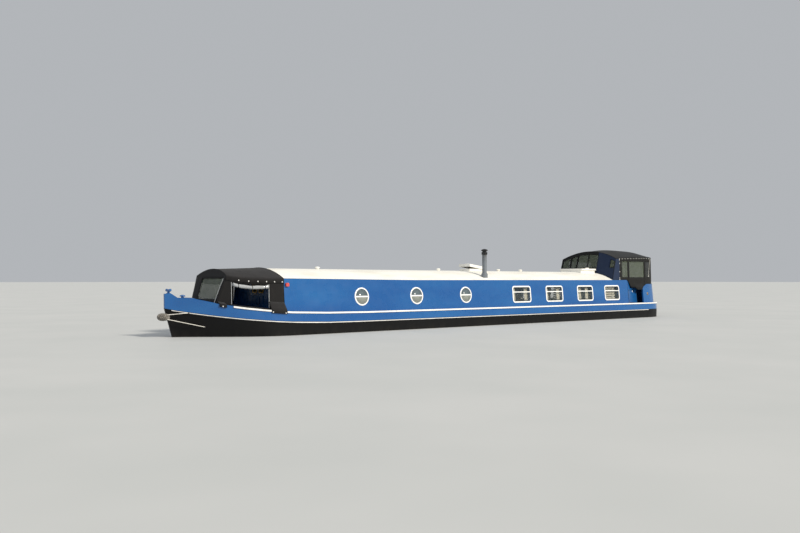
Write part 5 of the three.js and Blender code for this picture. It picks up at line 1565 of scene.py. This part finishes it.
def build_mid_lid():
    """A skirt round three sides of the lid, and a grab handle on top."""
    place = Matrix.Translation(MID_LID["hinge"]) @ Matrix.Rotation(math.radians(-MID_LID["open"]), 4, "Y")
    length, half, high = MID_LID["length"], MID_LID["half"], MID_LID["high"]
    bm = bmesh.new()
    add_box(bm, (length - 0.003, 0, -0.006), (0.012, 2 * half + 0.006, 0.07))
    run = length - 0.055
    for side in SIDES.values():
        add_box(bm, (0.055 + run / 2, side * (half - 0.003), -0.006), (run, 0.012, 0.07))
    round_edges(bm, 0.004)
    make_piece("mid_hatch_skirt", bm, "cream_paint", body="mid_hatch_lid", matrix=place)
    grip = [(0.70, -0.07, high), (0.70, -0.07, high + 0.03), (0.70, 0.07, high + 0.03), (0.70, 0.07, high)]
    route = [place @ Vector(point) for point in grip]
    make_lines("mid_hatch_handle", [route], 0.008, "white_plastic", body="mid_hatch_lid")


def build_aft_lid():
    """A low cream grip on the slab."""
    place = Matrix.Translation(AFT_LID["hinge"])
    bm = bmesh.new()
    add_box(bm, (-0.47, AFT_LID["half"] - 0.10, AFT_LID["high"] + 0.016), (0.19, 0.05, 0.036))
    round_edges(bm, 0.010, 3)
    make_piece("aft_hatch_grip", bm, "cream_paint", body="aft_hatch_lid", matrix=place)


build_chimney()
build_mid_lid()
build_aft_lid()
print("roof: chimney foot and cowl, hatch skirt, handle and grip")

# %% [markdown]
# ## Bow fittings
# A fat fender of plaited rope is slung over the stem by taut lines from two eyes on the strake. Its
# plait could be bumps in a material, but it shows in the outline, so real strands are wound round
# a core both ways. The eyes sit on the hull, whose surface a ray finds from outboard. The stud and
# the vent on the foredeck are castings, so they are spun anew with rounder edges than in CAD.

# %% Bow fender, its lines and eyes
FENDER = {"mid": 10.600, "back": 0.120, "half": 0.130, "z": 1.23, "radius": 0.088, "deep": 1.34}
STRANDS = 8
STRAND_TURNS = 1.25
EYE_PROFILE = [(0.0, 0.012), (0.012, 0.010), (0.022, 0.002), (0.022, -0.016), (0.0, -0.016)]


def fender_point(turn, angle, reach=1.0):
    """A point round the fender's middle line, which bends back on both sides of the stem."""
    radius = FENDER["radius"] * (1 - 0.45 * turn ** 4) * reach
    along = Vector((-0.8 * FENDER["back"] * turn, FENDER["half"])).normalized()
    out = Vector((along.y, -along.x))
    deep = radius * FENDER["deep"] * math.cos(angle)
    x = FENDER["mid"] - FENDER["back"] * turn ** 2 + out.x * deep
    y = FENDER["half"] * turn + out.y * deep
    return Vector((x, y, FENDER["z"] + radius * math.sin(angle)))


def hull_point(x, z, side, proud=0.0):
    """Where a line from outboard meets the hull at an x and a height."""
    origin = Vector((x, side * 3.0, z))
    for name in ("hull", "top_band"):
        hit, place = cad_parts[name].ray_cast(origin, Vector((0, -side, 0)))[:2]
        if hit:
            return place + Vector((0, side * proud, 0))
    return origin


def build_fender():
    """A plaited fender: a core under two sets of strands that cross, with whippings at its ends."""
    turns = stops([-1.0, 1.0], 0.08)
    bm = laid_grid(turns, stops([0.0, 2 * math.pi], 0.3), lambda t, a: fender_point(t, a, 0.93))
    bmesh.ops.remove_doubles(bm, verts=bm.verts[:], dist=1e-5)
    bmesh.ops.holes_fill(bm, edges=[edge for edge in bm.edges if edge.is_boundary], sides=0)
    make_piece("fender_core", bm, "rope", replaces=["bow_fender"], smooth=50.0)
    routes = []
    for way in (1, -1):
        for i in range(STRANDS):
            start = 2 * math.pi * i / STRANDS
            wound = [(t, start + way * math.pi * STRAND_TURNS * t) for t in stops([-0.97, 0.97], 0.06)]
            lift = [0.985 + 0.03 * way * math.cos(STRANDS * a) for t, a in wound]
            routes.append([fender_point(t, a, r) for (t, a), r in zip(wound, lift)])
    make_lines("fender_strands", routes, 0.0125, "rope")
    angles = [2 * math.pi * i / 24 for i in range(24)]
    rings = [[fender_point(t, angle, 1.06) for angle in angles] for t in (-0.93, -0.88, 0.88, 0.93)]
    make_lines("fender_whippings", rings, 0.010, "rope", closed=True)


def build_fender_lines():
    """Pale lines from the fender's ends to eyes on the strake, and lower ones to hold it down."""
    routes = []
    bm = bmesh.new()
    for side in SIDES.values():
        outboard = Vector((0, side, 0)).to_track_quat("Z", "X")
        end = fender_point(side * 0.9, 1.2, 1.0)
        eye = hull_point(10.03, 1.335, side, 0.018)
        low_eye = hull_point(9.66, 0.96, side, 0.014)
        routes += [[end, end.lerp(eye, 0.5), eye], [fender_point(side * 0.9, -1.0), low_eye]]
        for spot in (eye, low_eye):
            spun(bm, EYE_PROFILE, Matrix.LocRotScale(spot, outboard, None), 16)
    make_lines("fender_lines", routes, 0.0095, "pale_line")
    make_piece("fender_eyes", bm, "black_paint")


STEM_HEAD = (10.43, 0, 1.836)
VENT_FOOT = (10.085, 0.10, 1.712)


def build_t_stud():
    """A mooring stud: a stout post with a collar and a round bar across it with swollen ends."""
    place = Matrix.Translation(STEM_HEAD)
    bm = bmesh.new()
    post = [(0.0, 0.0), (0.060, 0.0), (0.060, 0.008), (0.034, 0.020), (0.030, 0.085), (0.0, 0.085)]
    spun(bm, post, place, 28)
    half_bar = [(0.027, 0.05), (0.034, 0.085), (0.037, 0.108), (0.026, 0.126), (0.0, 0.130)]
    bar = [(radius, -along) for radius, along in reversed(half_bar)] + half_bar
    spun(bm, bar, place @ Matrix.Translation((0, 0, 0.090)) @ Matrix.Rotation(math.pi / 2, 4, "X"), 24)
    make_piece("t_stud", bm, "blue_paint", replaces=["bow_t_stud"])


def build_mushroom_vent():
    """A low mushroom vent on the foredeck: skirted stem and a domed head."""
    bm = bmesh.new()
    spun(bm, [
        (0.0, 0.0), (0.055, 0.0), (0.050, 0.012), (0.036, 0.016), (0.034, 0.045), (0.066, 0.046),
        (0.076, 0.054), (0.072, 0.068), (0.048, 0.084), (0.020, 0.091), (0.0, 0.092),
    ], Matrix.Translation(VENT_FOOT), 32)
    make_piece("mushroom_vent", bm, "blue_paint", replaces=["foredeck_vent"])


build_fender()
build_fender_lines()
build_t_stud()
build_mushroom_vent()
print("bow:", 2 * STRANDS, "fender strands, 4 lines, stud and vent")

# %% [markdown]
# ## Stern fittings
# Each gate leaf has a shut line round its panel, two strap hinges and a latch. A brass fairlead
# lets a line through the bulwark, and the tiller ends in a turned grip. The shut line could be cut
# into the leaf, where its gap would fall into shade; a thin black line laid on it is painted shadow
# instead, and leaves the CAD piece alone.

# %% Gates and fairleads
GATE = {"x": -8.25, "z": 1.305, "thick": 0.040, "open": {"port": 15, "starboard": 0}}
# The shut line is drawn as a black line on the leaf: painted shadow of the gap round the panel.
SHUT_SHADOW_LINE = [  # x and z on the leaf, from the hinge side round to the free end
    (-0.05, 0.02), (-0.05, 0.45), (-0.07, 0.48), (-0.11, 0.492),
    (-0.93, 0.492), (-0.97, 0.47), (-0.985, 0.42), (-0.985, 0.02),
]
LATCH = (-0.50, 0.44)
FAIRLEAD = (-9.625, 1.641)
FAIRLEAD_PROFILE = [
    (0.030, -0.012), (0.030, 0.006), (0.036, 0.012), (0.046, 0.012), (0.056, 0.004), (0.056, -0.012),
    (0.030, -0.012),
]


def gate_place(side_name):
    """Placement of a gate leaf: X along it towards the bow, Y outwards on port, Z up."""
    side = SIDES[side_name]
    foot = side * (side_face(GATE["z"]) - GATE["thick"] - 0.003)
    lean = Matrix.Rotation(side * LEAN, 4, "X")
    swing = Matrix.Rotation(side * math.radians(GATE["open"][side_name]), 4, "Z")
    return Matrix.Translation((GATE["x"], foot, GATE["z"])) @ lean @ swing


def build_gate_details(side_name):
    """Shut lines drawn as painted shadow, two strap hinges and a latch, all riding on the gate."""
    side = SIDES[side_name]
    body = f"{side_name}_gate"
    place = gate_place(side_name)
    face = side * (GATE["thick"] + 0.0005)
    # Painted shadow: a thin black line where the shut line's gap would be in shade.
    route = [place @ Vector((x, face, z)) for x, z in SHUT_SHADOW_LINE]
    make_lines(f"gate_shadow_line_{side_name}", [route], 0.008, "black_paint", body=body)
    bm = bmesh.new()
    for z in (0.12, 0.42):
        add_box(bm, (-0.14, face, z), (0.20, 0.010, 0.035))
    round_edges(bm, 0.003)
    make_piece(f"gate_hinges_{side_name}", bm, "blue_paint", body=body, matrix=place)
    bm = bmesh.new()
    x, z = LATCH
    add_box(bm, (x, face, z), (0.05, 0.016, 0.05))
    add_box(bm, (x, face + side * 0.012, z), (0.014, 0.014, 0.075))
    round_edges(bm, 0.004)
    make_piece(f"gate_latch_{side_name}", bm, "white_plastic", body=body, matrix=place)


def build_fairleads():
    """A brass ring let into the bulwark on each side."""
    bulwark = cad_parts["stern_bulwark"]
    x, z = FAIRLEAD
    bm = bmesh.new()
    for side in SIDES.values():
        spot, normal = bulwark.ray_cast(Vector((x, side * 3, z)), Vector((0, -side, 0)))[1:3]
        matrix = Matrix.LocRotScale(spot, normal.to_track_quat("Z", "X"), None)
        spun(bm, FAIRLEAD_PROFILE, matrix, 32)
    make_piece("fairleads", bm, "brass")


def build_tiller_grip():
    """A turned wooden grip on the tiller's end."""
    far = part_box("tiller")[1]
    tip = Vector((far.x - 0.168, 0, far.z - 0.027))
    axis = Vector((1.0, 0, 0.04)).to_track_quat("Z", "Y")
    bm = bmesh.new()
    profile = [(0.0, 0.0), (0.022, 0.0), (0.025, 0.004), (0.028, 0.05), (0.025, 0.11), (0.029, 0.150),
               (0.027, 0.166), (0.015, 0.176), (0.0, 0.178)]
    spun(bm, profile, Matrix.LocRotScale(tip, axis, None), 32)
    make_piece("tiller_grip", bm, "wood", body="steering")


for side_name in SIDES:
    build_gate_details(side_name)
build_fairleads()
build_tiller_grip()
print("stern: gate lines, hinges, latches, fairleads and tiller grip")

# %% [markdown]
# ## Doors
# Each leaf is a steel panel with a glazed light above and a moulding below, and one leaf of each
# pair has a brass lever. The leaves themselves come from CAD. The light could be cut through them;
# a frame with dark glass on the face is enough, because nothing can be seen behind it.

# %% Doors
LIGHT_DROP, LIGHT_HEIGHT = 0.30, 0.40
MOULDING_DROP, MOULDING_HEIGHT = 0.78, 0.42
LEVER_DROP = 0.53


def door_placement(end, side_name):
    """Placement on a leaf's outer face, with the leaf's breadth and top: X across, Y up, Z outwards."""
    low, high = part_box(f"{end}_door_{side_name}")
    way = 1 if end == "front" else -1
    matrix = Matrix(((0, way, 0), (0, 0, 1), (way, 0, 0))).transposed().to_4x4()
    matrix.translation = Vector((high.x if way > 0 else low.x, (low.y + high.y) / 2, high.z))
    return matrix, high.y - low.y


def build_door_details(end, side_name):
    """Light, moulding and lever of one leaf, riding on it."""
    place, breadth = door_placement(end, side_name)
    body = f"{end}_{side_name}_door"
    light = place @ Matrix.Translation((0, -LIGHT_DROP, 0))
    bm = rounded_ring(breadth - 0.10, LIGHT_HEIGHT, 0.035, 0.030, 0.010)
    round_edges(bm, 0.003)
    make_piece(f"{end}_door_frame_{side_name}", bm, "brass", body=body, matrix=light)
    bm = rounded_face(breadth - 0.15, LIGHT_HEIGHT - 0.05, 0.012)
    pane = light @ Matrix.Translation((0, 0, 0.005))
    name = f"{end}_door_glass_{side_name}"
    thicken(make_piece(name, bm, "porthole_glass", body=body, matrix=pane, closed=False), 0.004)
    bm = rounded_ring(breadth - 0.12, MOULDING_HEIGHT, 0.012, 0.022, 0.008)
    round_edges(bm, 0.003)
    panel = place @ Matrix.Translation((0, -MOULDING_DROP, 0))
    make_piece(f"{end}_door_moulding_{side_name}", bm, "blue_paint", body=body, matrix=panel)
    if side_name == "starboard":
        way = 1 if end == "front" else -1
        edge = breadth / 2 - 0.035
        bends = [(edge, 0.0), (edge, 0.034), (edge - 0.02, 0.042), (edge - 0.10, 0.042)]
        route = [place @ Vector((way * across, -LEVER_DROP, out)) for across, out in bends]
        make_lines(f"{end}_door_lever", [route], 0.007, "brass", body=body)


for end in ("front", "aft"):
    for side_name in SIDES:
        build_door_details(end, side_name)
print("doors: 4 leaves with lights and mouldings, 2 levers")

# %% [markdown]
# ## Stage and light
# A plain pale floor at the waterline, a pale world, and broad soft lights: the key stands high on
# the camera's side, and a weaker one fills in from the bow. Area lamps would do, but a boat of 21 m
# needs even light from end to end, which suns with a wide disc give. The view transform is
# Standard, because Blender's default lifts the hull's black and greys the white roof.

# %% Floor, world and lights
WATERLINE = 0.70
FLOOR_HALF = 600.0


def build_floor():
    """The stage's floor: a plane with a faint mottle every 2.5 m, so that shadows read softly."""
    bm = bmesh.new()
    bmesh.ops.create_grid(bm, x_segments=24, y_segments=24, size=FLOOR_HALF)
    bmesh.ops.translate(bm, verts=bm.verts[:], vec=(0, 0, WATERLINE))
    mesh = bpy.data.meshes.new("floor")
    bm.to_mesh(mesh)
    bm.free()
    tree, shader, place = new_material("floor_pale", "#C6C8C6", 0.6)
    cloud = add(tree, "TexNoise", {"Vector": place, "Scale": 1 / 2.5, **CLOUDS, "Detail": 2.0})
    mottle = add(tree, "MapRange", {"Value": cloud, "From Min": 0.3, "From Max": 0.7})
    colour = add(tree, "Mix", {0: mottle, MIX_A: "#C3C5C3", MIX_B: "#C9CAC8"}, MIX_RESULT, data_type="RGBA")
    feed(tree, shader, Base_Color=colour)
    mesh.materials.append(MATERIALS["floor_pale"])
    floor = bpy.data.objects.new("floor", mesh)
    bpy.context.scene.collection.objects.link(floor)


def build_world():
    """An even pale surround."""
    world = bpy.data.worlds.new("pale")
    world.use_nodes = True
    background = world.node_tree.nodes["Background"]
    background.inputs["Color"].default_value = linear("#E9EDF2")
    background.inputs["Strength"].default_value = 0.55
    bpy.context.scene.world = world


def add_sun(name, strength, direction, softness, tint):
    """A distant lamp with a wide disc, so that its shadows are soft."""
    lamp = bpy.data.lights.new(name, "SUN")
    lamp.energy = strength
    lamp.angle = math.radians(softness)
    lamp.color = linear(tint)[:3]
    sun = bpy.data.objects.new(name, lamp)
    sun.rotation_euler = Vector(direction).to_track_quat("-Z", "Y").to_euler()
    bpy.context.scene.collection.objects.link(sun)


build_floor()
build_world()
add_sun("key", 3.4, (0.20, -0.80, -0.56), 10, "#FFF8EC")
add_sun("fill", 0.35, (-0.9, -0.25, -0.5), 40, "#EAF1FF")
bpy.context.scene.view_settings.view_transform = "Standard"
print("stage and lights built")
